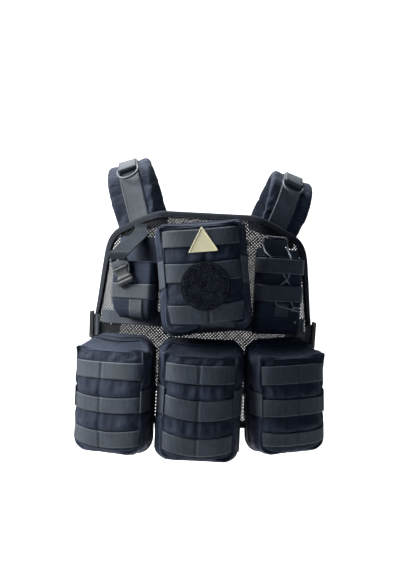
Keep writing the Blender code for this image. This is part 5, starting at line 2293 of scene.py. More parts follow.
    def zip(self) -> tuple[Object, Object]:
        """The zip round the gusset: a tape with its coil, and the coil's turns.

        Returns:
            The tape and the turns.
        """
        path = self.round_path(self.zip_foot * self.face_height / 2, self.zip_at)
        stations = []
        for here, out in path:
            deep = (self.axes.d - out * out.dot(self.axes.d)).normalized()
            stations.append(Station(here + out * 0.4 * MM, deep, out, 5.5 * MM))
        tape = Strap(thick=0.9 * MM).build(f"{self.name}_zip_tape", stations, CORDURA)
        line = [here + out * 1.0 * MM for here, out in path]
        teeth = ZIP_TEETH.along(f"{self.name}_zip_coil", [Seam(line, [out for _, out in path])])
        return tape, teeth

    def zip_slider(self) -> Object:
        """The zip's slider: a waisted body, a bridge and a pull.

        Returns:
            The slider.
        """
        path = self.round_path(self.zip_foot * self.face_height / 2, self.zip_at)
        spot = min(range(len(path) // 3), key=lambda k: abs(
            (path[k][0] - self.axes.origin).dot(self.axes.v) - self.slider_at))
        here, out = path[spot]
        run = (path[spot + 1][0] - path[spot - 1][0]).normalized()
        across = out.cross(run).normalized()

        def block(sizes: Sequence[tuple[float, float, float, float]]) -> Object:
            """A body over rectangles given as (along, half width, low, high), in millimetres.

            Args:
                sizes: The rectangles, in order.

            Returns:
                The body, with round edges.
            """
            rings = []
            for along, half, low, high in sizes:
                edges = ((-half, low), (half, low), (half, high), (-half, high))
                rings.append([here + (run * along + across * a + out * c) * MM for a, c in edges])
            return rounded(loft("slider_block", rings, ZIP_SLIDER), 0.4 * MM, 2)

        body = block([(-6, 3.0, 0.8, 3.6), (-1, 4.6, 0.8, 4.0), (3, 3.4, 0.8, 4.0),
                      (6, 4.4, 0.8, 3.4)])
        bridge = block([(-4, 1.0, 3.6, 4.4), (-2, 1.0, 5.0, 6.4), (3, 1.0, 5.0, 6.4),
                        (5, 1.0, 3.6, 4.4)])
        pull = block([(-3, 2.2, 6.6, 7.6), (-10, 3.0, 6.0, 7.0), (-22, 2.6, 4.0, 5.0)])
        return join(f"{self.name}_zip_slider", [body, bridge, pull])

    def build(self) -> None:
        """Make every piece of the pouch."""
        shell = place_piece(self.shell(), [f"{self.name}_shell"], "cordura")
        place_piece(self.piping(f=0.28, radius=1.3 * MM, label="front"), (), "cordura")
        place_piece(self.piping(f=1.0, radius=0.9 * MM, label="face"), (), "cordura")
        if self.slider_at > -1.0:
            place_piece(self.zip_slider())
        place_piece(self.back(), [f"{self.name}_back"], "cordura")
        seams: list[Seam] = []
        for place in ("lower", "middle", "upper"):
            made, sewn = self.band(place)
            seams += sewn
            place_piece(made, [f"{self.name}_band_{place}"], "webbing")
        for u, side in ((-1.0, "right"), (1.0, "left")):
            place_piece(self.side_webbing(u, side), [f"{self.name}_side_band_{side}"], "webbing")
        for low, high in self.open_stretches():
            line = [self.cloth(self.middle_seam, between(low, high, k / 12), 1.0)
                    + self.axes.d * (0.5 * MM) for k in range(13)]
            seams.append(Seam(line, [self.axes.d] * 13))
        tape, teeth = self.zip()
        place_piece(tape, (), "cordura")
        place_piece(teeth)
        place_piece(STITCHES.along(f"{self.name}_stitches", seams))


@dataclass
class UpperTrim:
    """What the upper pouch carries: a round loop patch, a triangular patch and a tab."""

    pouch: LargePouch
    patch_radius: float = 0.041
    patch_centre: Flat = (0.0015, -0.0205)
    badge_apex: Flat = (0.0025, 0.0790)
    badge_foot: float = 0.0365
    badge_half: float = 0.0252
    badge_round: float = 2.5 * MM
    badge_thick: float = 2.2 * MM
    rim_width: float = 2.2 * MM
    rim_height: float = 0.7 * MM
    tab_columns: Flat = (-0.2, 0.75)
    tab_lift: float = 0.6 * MM

    def seat_on(self, low: float, high: float) -> float:
        """How far out a patch lies that rests on the band between these heights.

        Args:
            low: The lower height.
            high: The upper height.

        Returns:
            The distance from the pouch's back.
        """
        spots = (-1.0, -0.75, -0.2, 0.25, 0.75, 1.0)
        crest = max(self.pouch.local(u, v, 1.0)[2] for u in spots for v in (low, high))
        return crest + self.pouch.band_lift + WEBBING + GAP

    def loop_patch(self) -> None:
        """The ground of the loop patch with its sewn rim, and the pile on it."""
        axes = self.pouch.axes
        low = self.seat_on(*self.pouch.bands[1])
        rings = []
        for share, d in (
            (0.97, low), (1.0, low + 0.5 * MM), (1.0, low + 1.4 * MM), (0.985, low + 2.0 * MM),
            (0.955, low + 1.5 * MM), (0.93, low + 1.6 * MM), (0.90, low + 2.2 * MM),
            (0.6, low + 2.3 * MM), (0.3, low + 2.4 * MM),
        ):
            rings.append(axes.circle(self.patch_centre, self.patch_radius * share, d, 72))
        ground = loft("loop_patch_ground", rings, LOOP_GROUND, worn=0.2)
        place_piece(ground, ["loop_patch"], "hook_and_loop")
        disc = Draft()
        rows = []
        for share in (0.05, 0.5, 0.94):
            radius = self.patch_radius * share
            rows.append(disc.row(axes.circle(self.patch_centre, radius, low + 2.0 * MM, 48)))
        flat = [(0.0, 0.0)] * 49
        disc.strip(rows[0], rows[1], flat, flat, True)
        disc.strip(rows[1], rows[2], flat, flat, True)
        seed = disc.keep("loop_patch_seed", LOOP_GROUND)
        if seed.data.polygons[0].normal.dot(axes.d) < 0:
            seed.data.flip_normals()
        mesh = seed.data
        bpy.data.objects.remove(seed, do_unlink=True)
        # Loops 0.8 mm across are drawn 1.8 mm across, and fewer, so that the pile shows.
        pile = grown(
            "loop_patch_pile", mesh, RowTrees.pile(LOOP_YARN),
            {"Loops per square metre": 520000.0, "Loop radius": 0.85 * MM,
             "Yarn radius": 0.22 * MM},
        )
        place_piece(pile)
        radius = self.patch_radius * 0.955
        line = axes.circle(self.patch_centre, radius, low + 1.7 * MM, 72)
        seam = Seam(line + line[:1], [axes.d] * (len(line) + 1))
        place_piece(STITCHES.along("loop_patch_stitches", [seam]))

    def badge_outline(self, grow: float) -> list[Flat]:
        """The triangle with round corners, moved outwards by grow.

        Args:
            grow: How far outwards.

        Returns:
            The points, in order.
        """
        au, av = self.badge_apex
        corners = [Vector((au, av)), Vector((au - self.badge_half, self.badge_foot)),
                   Vector((au + self.badge_half, self.badge_foot))]
        centre = sum(corners, Vector((0.0, 0.0))) / 3
        found = []
        for k, corner in enumerate(corners):
            before = corners[k - 1] - corner
            after = corners[(k + 1) % 3] - corner
            a = corner + before.normalized() * self.badge_round * 1.4
            b = corner + after.normalized() * self.badge_round * 1.4
            for n in range(7):
                t = n / 6
                spot = a * (1 - t) ** 2 + corner * (2 * t * (1 - t)) + b * t * t
                away = (spot - centre).normalized()
                found.append(tuple(spot + away * grow * (1.0 + 0.6 * (1 - abs(2 * t - 1)))))
        return found

    def badge(self) -> None:
        """The cream patch: a dark foot, a raised rim and a bare, slightly sunk field."""
        axes = self.pouch.axes
        low = self.seat_on(*self.pouch.bands[2])
        top = low + self.badge_thick
        steps = (
            (-0.3 * MM, low), (0.0, low + 0.4 * MM), (0.0, top - 0.5 * MM), (-0.4 * MM, top),
            (-self.rim_width + 0.4 * MM, top), (-self.rim_width, top - self.rim_height),
            (-self.rim_width * 2.2, top - self.rim_height), (-9 * MM, top - self.rim_height),
        )
        rings = [[axes.at(u, v, d) for u, v in self.badge_outline(grow)] for grow, d in steps]
        face = loft("triangle_patch_face", rings, SOFT_PVC, angle=40)
        place_piece(face, ["triangle_patch"], "rubber")
        foot = [[axes.at(u, v, d) for u, v in self.badge_outline(grow)]
                for grow, d in ((0.9 * MM, low - 0.1 * MM), (1.2 * MM, low + 0.4 * MM),
                                (0.9 * MM, low + 0.9 * MM), (-0.5 * MM, low + 1.0 * MM))]
        place_piece(loft("triangle_patch_backing", foot, PVC_EDGE, angle=40))

    def tab(self) -> None:
        """The webbing tab under the pouch."""
        pouch = self.pouch
        foot = -pouch.face_height / 2
        stations = []
        for k in range(15):
            f = between(0.4, 1.0, k / 14)
            near, far = (pouch.at(u, foot, f) for u in self.tab_columns)
            lift = self.tab_lift + WEBBING / 2
            stations.append(Station.spanning(near, far, -pouch.axes.v, lift))
        place_piece(STRAP.build("upper_pouch_tab_webbing", stations), ["upper_pouch_tab"],
                    "webbing")

    def build(self) -> None:
        """Make all three."""
        self.loop_patch()
        self.badge()
        self.tab()


# The small pouches


@dataclass
class Cup:
    """A small pouch with an open top, a hemmed mouth and a back wall."""

    name: str
    along: float
    z: float
    width: float
    depth: float
    foot: float
    mouth: float
    plate_top: float
    seat: float = 2.7 * MM
    corner: float = 7.0 * MM
    cloth: float = 2.0 * MM
    margin: float = 1.0 * MM
    band_back: float = 2.0 * MM
    band_play: float = 0.45 * MM
    corner_share: float = 0.7
    pressed: tuple[Flat, ...] = ()
    reach_right: float = 0.0
    reach_left: float = 0.0
    taper: float = 0.0
    taper_from: float = -0.050
    foot_round: float = 3.0 * MM
    back_corner: float = 8.0 * MM

    def __post_init__(self) -> None:
        """Set the pouch on the chest."""
        out = self.seat + HALF_PANEL + BACK_WALL + GAP
        self.axes = Axes.on_chest(self.along, self.z, 0.0, out)

    def outline(self, grow: float, start: float = 0.0) -> list[tuple[float, float, float, float]]:
        """(u, d, outward u, outward d) from one side round the front to the other.

        Args:
            grow: How far outside the walls.
            start: How far in front of the back it starts.

        Returns:
            The points, in order.
        """
        low, high = self.sides()
        r = self.corner
        marks = [(low, between(start, self.depth - r, k / 4), -1.0, 0.0) for k in range(4)]
        marks += [(low + r - r * c, self.depth - r + r * s, -c, s) for c, s in arc(0, TURN / 4, 8)]
        flat = [(low + r + (high - low - 2 * r) * k / 14, self.depth, 0.0, 1.0)
                for k in range(1, 14)]
        right = [(low + high - u, d, -a, b) for u, d, a, b in reversed(marks)]
        return [(u + a * grow, d + b * grow, a, b) for u, d, a, b in [*marks, *flat, *right]]

    def sides(self) -> Flat:
        """How far the pouch reaches to the wearer's right and left."""
        return -self.width / 2 - self.reach_right, self.width / 2 + self.reach_left

    def drawn_in(self, u: float, v: float) -> float:
        """A place across the pouch, drawn in towards the middle where its foot tapers."""
        sink = ease((self.taper_from - v) / (self.taper_from - self.foot))
        return u * (1 - self.taper * sink) if u < 0 else u

    def tuck(self, v: float) -> float:
        """How far the wall turns in towards the floor."""
        into = max(0.0, 1 - (v - self.foot) / self.foot_round)
        return -0.6 * self.foot_round * into * into

    def wall(self, v: float) -> float:
        """How far the wall swells at a height: fuller below, drawn in at the mouth."""
        share = (v - self.foot) / (self.mouth - self.foot)
        return 1.6 * MM * math.sin(math.pi * min(1.0, max(0.0, share))) - 0.6 * MM * ease(share)

    def room(self, v: float) -> float:
        """How far out the wall may stand at a height: it is pressed in under a band."""
        away = min((max(low - v, v - high) for low, high in self.pressed), default=1.0)
        return self.band_play - 0.15 * MM + 3.0 * MM * ease(away / (5 * MM))

    def shell(self) -> Object:
        """The walls and floor, with a turned hem at the mouth.

        Returns:
            The shell.
        """
        rings = []
        levels = [self.foot + (self.mouth - self.foot) * k / 26 for k in range(27)]
        for v in levels:
            rounding = self.tuck(v)
            ring = []
            for u, d, a, b in self.outline(0.0):
                swell = self.wall(v) * (b * b + 0.4) if d > 3 * MM else 0.0
                soft = 1.0 * MM * noise.noise(Vector((u * 45, v * 30 + u * 20, self.along * 10)))
                push = min(rounding + (swell + soft if d > 3 * MM else 0.0), self.room(v))
                across = self.drawn_in(u, v) + a * push
                ring.append(self.axes.at(across, v, max(0.0, d + b * push)))
            rings.append(ring)
        top = self.mouth
        for grow, v in ((0.3 * MM, top + 0.8 * MM), (-self.cloth / 2, top + 1.2 * MM),
                        (-self.cloth, top + 0.4 * MM), (-self.cloth, top - 12 * MM),
                        (-self.cloth, self.foot + self.foot_round + self.cloth)):
            ring = []
            for u, d, a, b in self.outline(grow):
                deep = max(self.cloth if grow < -0.5 * MM else 0.0, d)
                ring.append(self.axes.at(self.drawn_in(u, v), v, deep))
            rings.append(ring)
        return loft(f"{self.name}_cloth", rings, CORDURA, worn=0.1, angle=65)

    def back(self) -> Object:
        """The back wall with round corners and a bound edge.

        Returns:
            The wall.
        """
        near, far = self.sides()
        low = self.foot - self.margin
        high = (far + self.margin, self.plate_top)
        box = round_box((near - self.margin, low), high, self.back_corner, 6)
        outline = [(self.drawn_in(u, v), v) for u, v in box]
        return self.axes.wall(self.name, outline, (self.plate_top + low) / 2)

    def band(self, label: str, heights: Flat, lift: float) -> Object:
        """A webbing band round the pouch, standing off its front by the lift.

        Args:
            label: The end of the piece's name.
            heights: Its lower and upper edge.
            lift: How far it stands off the front.

        Returns:
            The webbing.
        """
        stations = []
        low, high = heights
        for u, d, a, b in self.outline(0.0, self.band_back):
            flat = 1.0 if b == 1.0 else between(0.0, self.corner_share, b)
            rise = self.band_play + lift * flat + WEBBING / 2
            out = self.axes.u * a + self.axes.d * b
            middle = self.axes.at(u, (low + high) / 2, d) + out * rise
            stations.append(Station(middle, self.axes.v, out, (high - low) / 2))
        return STRAP.build(f"{self.name}_webbing_{label}", stations)


def outline_plate(
    name: str, outline: Sequence[Flat], place: Place, low: float, high: float, finish: Finish,
    holes: Sequence[Sequence[Flat]], soft: float,
) -> Object:
    """A flat moulding over an outline with holes, its edges rounded.

    Args:
        name: The piece's name.
        outline: The outer edge.
        place: The world point of flat coordinates.
        low: The lower face's height.
        high: The upper face's height.
        finish: What it is made of.
        holes: The inner edges.
        soft: The radius of the rounded edges.

    Returns:
        The moulding.
    """
    shape = bmesh.new()
    edges = []
    for loop in [outline, *holes]:
        ring = [shape.verts.new((a, b, low)) for a, b in loop]
        edges += [shape.edges.new((ring[k - 1], ring[k])) for k in range(len(ring))]
    bmesh.ops.triangle_fill(shape, edges=edges, use_beauty=True)
    bmesh.ops.dissolve_limit(
        shape, angle_limit=0.01, verts=shape.verts, edges=shape.edges, delimit={"NORMAL"}
    )
    made = bmesh.ops.extrude_face_region(shape, geom=list(shape.faces))
    for item in made["geom"]:
        if isinstance(item, bmesh.types.BMVert):
            item.co.z = high
    bmesh.ops.recalc_face_normals(shape, faces=shape.faces)
    bmesh.ops.triangulate(shape, faces=[f for f in shape.faces if len(f.verts) > 4])
    for vert in shape.verts:
        vert.co = place(*vert.co)
    bmesh.ops.recalc_face_normals(shape, faces=shape.faces)
    mesh = bpy.data.meshes.new(name)
    shape.to_mesh(mesh)
    shape.free()
    mesh.materials.append(finish.material())
    return rounded(placed(name, mesh), soft)


@dataclass
class Buckle:
    """A side-release buckle: a plug with a bar and curved prongs, in its socket."""

    place: Place
    half: float = 16.5 * MM
    plug_thick: float = 3.6 * MM
    socket_from: float = 17.0 * MM
    socket_length: float = 33.0 * MM
    socket_thick: float = 8.0 * MM

    def plug(self) -> Object:
        """The bar frame, the body and the three prongs.

        Returns:
            The plug.
        """
        h = self.half / MM
        outline = [
            (-h + 2, -4), (h - 2, -4), (h, -2), (h, 9), (h + 0.6, 13), (h + 0.9, 18),
            (h + 0.2, 23), (h - 1.4, 28), (h - 3.4, 33), (h - 5.4, 34), (h - 5.6, 31),
            (h - 4.6, 26), (h - 4.2, 21), (h - 5.2, 17.5), (h - 7, 16), (4, 16), (3, 17.5),
            (2.6, 36), (-2.6, 36), (-3, 17.5), (-4, 16),
        ]
        left = [(-a, b) for a, b in reversed(outline[3:15])]
        ring = [(a * MM, b * MM) for a, b in [*outline, *left, (-h, -2)]]
        slot = [(-12.8, 1.0), (12.8, 1.0), (12.8, 4.6), (-12.8, 4.6)]
        low = (self.socket_thick - self.plug_thick) / 2
        return outline_plate(
            "buckle_plug_moulded", ring, self.place, low, low + self.plug_thick, RING_ACETAL,
            [[(a * MM, b * MM) for a, b in slot]], 0.8 * MM,
        )

    def socket(self) -> Object:
        """The body that takes the prongs: waisted sides, a domed face and a strap bar.

        Returns:
            The socket.
        """
        h = self.half / MM
        start = self.socket_from / MM
        end = start + self.socket_length / MM
        rings = []
        rows = (
            (start + 0.4, 0.90, 0.82), (start + 1.4, 0.94, 1.0), (start + 3.6, 0.92, 1.0),
            (start + 4.8, 0.86, 0.84), (start + 9, 0.76, 0.80), (start + 14, 0.74, 0.80),
            (start + 18, 0.86, 0.84), (start + 20, 0.94, 1.0), (start + 21.6, 0.96, 1.0),
            (start + 22.8, 0.98, 0.84), (start + 24.6, 1.0, 0.84), (start + 25.8, 1.0, 1.0),
            (end - 4, 1.0, 1.0), (end - 2.6, 1.0, 0.84), (end - 0.8, 0.97, 0.70),
        )
        for b, wide, tall in rows:
            ring = []
            for c, s in arc(0, TURN, 28, True):
                a = math.copysign(abs(c) ** 0.35, c) * h * wide
                top = math.copysign(abs(s) ** 0.55, s)
                d = 4.0 + top * 4.0 * tall
                ring.append(self.place(a * MM, b * MM, d * MM))
            rings.append(ring)
        return loft("buckle_socket_moulded", rings, BUCKLE_ACETAL, angle=50)


@dataclass
class RadioPouch:
    """The open pouch on the wearer's right, with its strap and fastened buckle."""

    cup: Cup = field(default_factory=lambda: Cup(
        "radio_pouch", along=-0.1225, z=-0.190, width=0.067, depth=0.026, foot=-0.082,
        mouth=0.016, plate_top=0.0615, pressed=((-0.0480, -0.0220),),
        reach_left=11.0 * MM, taper=0.30, foot_round=14.0 * MM,
    ))
    band: Flat = (-0.0480, -0.0220)
    # The closing strap's middle (u, v, d) in the cup's axes, and half its width.
    strap: tuple[tuple[float, ...], ...] = (
        (0.0045, 0.0840, -0.0040, 0.0125), (0.0050, 0.0765, -0.0022, 0.0125),
        (0.0060, 0.0715, 0.0012, 0.0130), (0.0060, 0.0630, 0.0070, 0.0172),
        (-0.0030, 0.0475, 0.0200, 0.0180), (-0.0120, 0.0335, 0.0325, 0.0195),
        (-0.0140, 0.0290, 0.0376, 0.0200), (-0.0180, 0.0190, 0.0366, 0.0135),
    )
    tilt: float = 25.0
    bar_at: Flat = (-0.0200, 0.0215)
    foot_strap_at: float = 0.0170
    foot_strap_half: float = 12.5 * MM
    roll_half: float = 12.3 * MM

    def buckle(self) -> Buckle:
        """The buckle over the pouch's front.

        Returns:
            The buckle, set on its own tilted axes.
        """
        axes = self.cup.axes
        tilt = math.radians(self.tilt)
        across = axes.u * math.cos(tilt) + axes.v * math.sin(tilt)
        down = axes.u * math.sin(tilt) - axes.v * math.cos(tilt)
        seat = self.cup.depth + self.cup.band_play + WEBBING + GAP
        start = axes.at(*self.bar_at, seat)
        return Buckle(lambda a, b, c: start + across * a + down * b + axes.d * c)

    def closing_strap(self) -> Object:
        """The strap from the panel's top over the mouth to the plug's bar.

        Returns:
            The strap.
        """
        axes = self.cup.axes
        marks = [Vector(row) for row in self.strap]
        stations = []
        count = 56
        for k in range(count + 1):
            share = k / count
            *here, half = smooth(marks, share)
            run = smooth(marks, min(1.0, share + 0.02)) - smooth(marks, max(0.0, share - 0.02))
            flow = axes.v * run.y + axes.d * run.z
            out = facing(axes.u.cross(flow).normalized(), axes.d)
            stations.append(Station(axes.at(*here) + out * (WEBBING / 2), axes.u, out, half))
        return STRAP.build("radio_pouch_closing_strap", stations, STRAP_WEB)

    def bar_roll(self, buckle: Buckle) -> Object:
        """The webbing folded round the plug's bar.

        Args:
            buckle: The buckle whose bar it holds.

        Returns:
            The fold.
        """
        bar, middle = -1.5 * MM, buckle.socket_thick / 2
        start = buckle.place(0.0, bar, middle)
        across = (buckle.place(MM, bar, middle) - start).normalized()
        stations = []
        for k in range(29):
            turn = TURN * (0.5 + 0.98 * k / 28)
            b, c = 3.5 * MM * math.sin(turn), 2.8 * MM * math.cos(turn)
            place = buckle.place(0.0, bar + b, middle + c)
            away = buckle.place(0.0, bar + 0.8 * b, middle + 1.25 * c) - start
            stations.append(Station(place, across, away.normalized(), self.roll_half))
        return STRAP.build("radio_pouch_bar_roll", stations, STRAP_WEB)

    def foot_strap(self) -> Object:
        """The webbing that runs down from the band and under the pouch's floor.

        Returns:
            The webbing.
        """
        cup = self.cup
        axes = cup.axes
        at = self.foot_strap_at
        stations = []
        top = self.band[0] - 1.5 * MM
        bend = 3.0 * MM
        seat = cup.depth + 1.0 * MM
        for k in range(11):
            v = between(top, cup.foot + bend, k / 10)
            slope = (cup.tuck(v + MM) - cup.tuck(v - MM)) / (2 * MM)
            out = (axes.d - axes.v * slope).normalized()
            place = axes.at(at, v, seat + cup.wall(v) * 0.8 + cup.tuck(v))
            stations.append(Station(place, axes.u, out, self.foot_strap_half))
        for k in range(1, 5):
            place = axes.at(at, cup.foot - 1.0 * MM,
                            between(seat + cup.tuck(cup.foot) - bend, 2.0 * MM, k / 4))
            stations.append(Station(place, axes.u, -axes.v, self.foot_strap_half))
        return Strap(thick=1.4 * MM).build("radio_pouch_foot_webbing", stations)

    def build(self) -> None:
        """Make every piece of the pouch."""
        cup, buckle = self.cup, self.buckle()
        for piece, nodes, slot in (
            (self.foot_strap(), (), "webbing"),
            (cup.shell(), ["radio_pouch_shell"], "cordura"),
            (cup.back(), ["radio_pouch_back"], "cordura"),
            (cup.band("band", self.band, 0.0), ["radio_pouch_band"], "webbing"),
            (self.closing_strap(), ["radio_pouch_strap"], "webbing"),
            (self.bar_roll(buckle), (), "webbing"),
            (buckle.plug(), ["buckle_plug"], "acetal"),
            (buckle.socket(), ["buckle_socket"], "acetal"),
        ):
            place_piece(piece, nodes, slot)


@dataclass
class MagazinePouch:
    """The open pouch on the wearer's left, laced with shock cord."""

    cup: Cup = field(default_factory=lambda: Cup(
        "magazine_pouch", along=0.1305, z=-0.190, width=0.078, depth=0.018, foot=-0.098,
        mouth=0.037, plate_top=0.052, reach_right=7.0 * MM, foot_round=7.0 * MM,
    ))
    lower: Flat = (-0.0400, -0.0120)
    upper: Flat = (0.0085, 0.0345)
    lift: float = 3.4 * MM
    tab: Flat = (0.0385, 0.0685)
    tab_width: float = 0.042
    tab_shift: float = -0.012
    cord_radius: float = 1.4 * MM
    # The places (u, v, d) of the shock cord's route, in the cup's axes.
    route: tuple[Spot, ...] = (
        (0.0350, -0.0520, 0.0214), (0.0290, -0.0500, 0.0214),
        (0.0225, -0.0495, 0.0212), (0.0175, -0.0420, 0.0200),
        (0.0140, -0.0260, 0.0196), (0.0125, -0.0120, 0.0196),
        (0.0055, -0.0020, 0.0196), (-0.0020, 0.0085, 0.0196),
        (-0.0150, 0.0230, 0.0196), (-0.0305, 0.0375, 0.0198),
        (-0.0352, 0.0450, 0.0120), (-0.0352, 0.0540, 0.0045),
        (-0.0362, 0.0656, 0.0022), (-0.0322, 0.0722, 0.0022),
        (-0.0120, 0.0728, 0.0022), (0.0084, 0.0722, 0.0022),
        (0.0124, 0.0656, 0.0022), (0.0122, 0.0540, 0.0045),
        (0.0118, 0.0450, 0.0120), (0.0115, 0.0375, 0.0198),
        (0.0110, 0.0230, 0.0196), (0.0104, 0.0085, 0.0202),
        (0.0040, -0.0020, 0.0226), (-0.0070, -0.0120, 0.0202),
        (-0.0110, -0.0260, 0.0196), (-0.0140, -0.0400, 0.0196),
        (-0.0100, -0.0465, 0.0198), (0.0040, -0.0500, 0.0206),
        (0.0180, -0.0540, 0.0214), (0.0280, -0.0555, 0.0214),
        (0.0345, -0.0590, 0.0214),
    )
    knot_at: Spot = (0.0200, -0.0520, 0.0222)
    knot_size: float = 3.6 * MM
    foot_tab: Flat = (-0.0665, -0.0440)
    foot_tab_at: float = -0.0015
    foot_tab_half: float = 0.0135
    snap_at: Spot = (0.0250, -0.0745, 0.0195)
    snap_radius: float = 3.4 * MM

    def cord(self) -> Object:
        """The cord round the tab, crossed between the bands and led out below them.

        Returns:
            The cord.
        """
        axes = self.cup.axes
        marks = [Vector(spot) for spot in self.route]
        line = [axes.at(*smooth(marks, k / 240)) for k in range(241)]
        return tube("magazine_pouch_shock_cord", line, self.cord_radius, SHOCK_CORD, axes.d)

    def knot(self) -> Object:
        """The overhand knot that joins the cord's two ends: a trefoil drawn tight.

        Returns:
            The knot.
        """
        axes = self.cup.axes
        line = []
        for k in range(73):
            turn = TURN * k / 72
            a = math.sin(turn) + 2 * math.sin(2 * turn)
            b = math.cos(turn) - 2 * math.cos(2 * turn)
            place = Vector((a * 0.5, b * 0.75, -math.sin(3 * turn) * 0.5)) * (self.knot_size / 2)
            line.append(axes.at(*(Vector(self.knot_at) + place)))
        radius = self.cord_radius * 0.85
        return tube("magazine_pouch_cord_knot", line, radius, SHOCK_CORD, axes.d, 8)

    def foot_webbing(self) -> tuple[Object, list[Seam]]:
        """The short webbing tab sewn on the front under the knot, and its seam.

        Returns:
            The webbing and its seam.
        """
        axes = self.cup.axes
        low, high = self.foot_tab
        seat = self.cup.depth + 0.9 * MM
        stations = []
        for k in range(13):
            v = between(low, high, k / 12)
            place = axes.at(self.foot_tab_at, v, seat + self.cup.wall(v) * 0.8)
            stations.append(Station(place, axes.u, axes.d, self.foot_tab_half))
        reach = self.foot_tab_half - 2 * MM
        lift = seat + WEBBING / 2 + 1.4 * MM
        ends = [axes.at(self.foot_tab_at + a, low + 3 * MM, lift) for a in (-reach, reach)]
        made = Strap(thick=1.4 * MM).build("magazine_pouch_foot_webbing", stations)
        return made, [Seam(ends, [axes.d, axes.d])]

    def snap(self) -> Object:
        """The small domed snap on the pouch's front.

        Returns:
            The snap.
        """
        axes = self.cup.axes
        u, v, d = self.snap_at
        rings = []
        for share, rise in ((1.0, 0.0), (1.02, 0.5), (0.9, 0.95), (0.62, 1.05), (0.5, 1.5),
                            (0.3, 1.9), (0.08, 2.0)):
            rings.append(axes.circle((u, v), self.snap_radius * share, d + rise * MM, 24))
        return loft("magazine_pouch_snap", rings, SNAP_METAL, angle=50)

    def tab_webbing(self) -> Object:
        """The folded tab that the cord goes round.

        Returns:
            The webbing.
        """
        axes = self.cup.axes
        low, high = self.tab
        stations = []
        shift = self.tab_shift
        half = self.tab_width / 2
        fold, radius = high - 1.2 * MM, 0.9 * MM
        for k in range(11):
            v = between(low, fold, k / 10)
            stations.append(Station(axes.at(shift, v, 2.7 * MM), axes.u, axes.d, half))
        for c, s in arc(TURN / 12, TURN * 5 / 12, 4):
            place = axes.at(shift, fold + radius * s, 1.8 * MM + radius * c)
            stations.append(Station(place, axes.u, axes.d * c + axes.v * s, half))
        for k in range(11):
            v = between(fold, low, k / 10)
            stations.append(Station(axes.at(shift, v, radius), axes.u, -axes.d, half))
        return STRAP.build("magazine_pouch_tab_webbing", stations)

    def build(self) -> None:
        """Make every piece of the pouch."""
        cup = self.cup
        for piece, nodes, slot in (
            (cup.shell(), ["magazine_pouch_shell"], "cordura"),
            (cup.back(), ["magazine_pouch_back"], "cordura"),
            (cup.band("lower", self.lower, self.lift), ["magazine_pouch_band_lower"], "webbing"),
            (cup.band("upper", self.upper, self.lift), ["magazine_pouch_band_upper"], "webbing"),
            (self.tab_webbing(), ["magazine_pouch_tab"], "webbing"),
            (self.cord(), ["magazine_pouch_cord"], "shock_cord"),
            (self.knot(), (), "shock_cord"),
        ):
            place_piece(piece, nodes, slot)
        foot, seams = self.foot_webbing()
        place_piece(foot, (), "webbing")
        place_piece(STITCHES.along("magazine_pouch_stitches", seams))
        place_piece(self.snap())


# The sides


@dataclass
class SideStrap:
    """Webbing from the front panel round the side to the back panel, with its slider."""

    side: str
    front_z: float = -0.290
    back_z: float = -0.315
    lap: float = 20.0 * MM
    lift: float = 4.2 * MM
    back_lift: float = 5.4 * MM
    bulge: float = 0.213
    width: float = 38.0 * MM
    slider_at: float = 0.30
    slider_thick: float = 3.0 * MM
    slider_half: Flat = (15.0 * MM, 24.0 * MM)
    slider_corner: float = 3.0 * MM
    aim: float = 0.004

    def marks(self) -> list[Vector]:
        """The points that the strap's inner face passes.

        Returns:
            The points, from front to back.
        """
        f, b = from_table(FRONT_EDGE, self.front_z), from_table(BACK_EDGE, self.back_z)
        return [
            TORSO.front(f - self.lap, self.front_z, self.lift),
            TORSO.front(f - self.lap / 2, self.front_z, self.lift),
            TORSO.front(f, self.front_z, self.lift),
            Vector((self.bulge, 0.0, (self.front_z + self.back_z) / 2)),
            TORSO.back(b, self.back_z, self.back_lift),
            TORSO.back(b - self.lap / 2, self.back_z, self.back_lift),
            TORSO.back(b - self.lap, self.back_z, self.lift),
        ]

    def line(self, share: float) -> tuple[Vector, Vector, Vector]:
        """(place, out, run) at a share of the way from front to back.

        Args:
            share: From 0 at the front to 1 at the back.

        Returns:
            The place and two unit directions.
        """
        marks = self.marks()
        turned = Vector((SIGN[self.side], 1.0, 1.0))
        ahead, behind = min(share + self.aim, 1.0), max(share - self.aim, 0.0)
        run = smooth(marks, ahead) - smooth(marks, behind)
        out = Vector((run.y, -run.x, 0.0)).normalized()
        return smooth(marks, share) * turned, out * turned, run.normalized() * turned

    def strap(self) -> Object:
        """The webbing.

        Returns:
            The webbing.
        """
        stations = []
        for k in range(81):
            here, out, _ = self.line(k / 80)
            stations.append(Station(here + out * (WEBBING / 2), UP.copy(), out, self.width / 2))
        return STRAP.build(f"side_webbing_{self.side}", stations)

    def slider(self) -> Object:
        """The two-slot slider that sets the strap's length.

        Returns:
            The slider.
        """
        here, out, run = self.line(self.slider_at)
        up = out.cross(run).normalized()
        seat = here + out * (WEBBING + 2 * GAP)
        wide, high = self.slider_half
        outline = round_box((-wide, -high), (wide, high), self.slider_corner, 4)
        slot = ((4, -20), (10.5, -20), (10.5, 20), (4, 20))
        slots = [[(a * sign * MM, b * MM) for a, b in slot] for sign in (1, -1)]
        return outline_plate(
            f"side_slider_moulded_{self.side}", outline,
            lambda a, b, c: seat + run * a + up * b + out * c, 0.0, self.slider_thick,
            MOULDED_NYLON, slots, 0.8 * MM,
        )

    def build(self) -> None:
        """Make the strap and its slider."""
        place_piece(self.strap(), [f"side_strap_{self.side}"], "webbing")
        place_piece(self.slider(), [f"side_slider_{self.side}"], "acetal")


# The studio


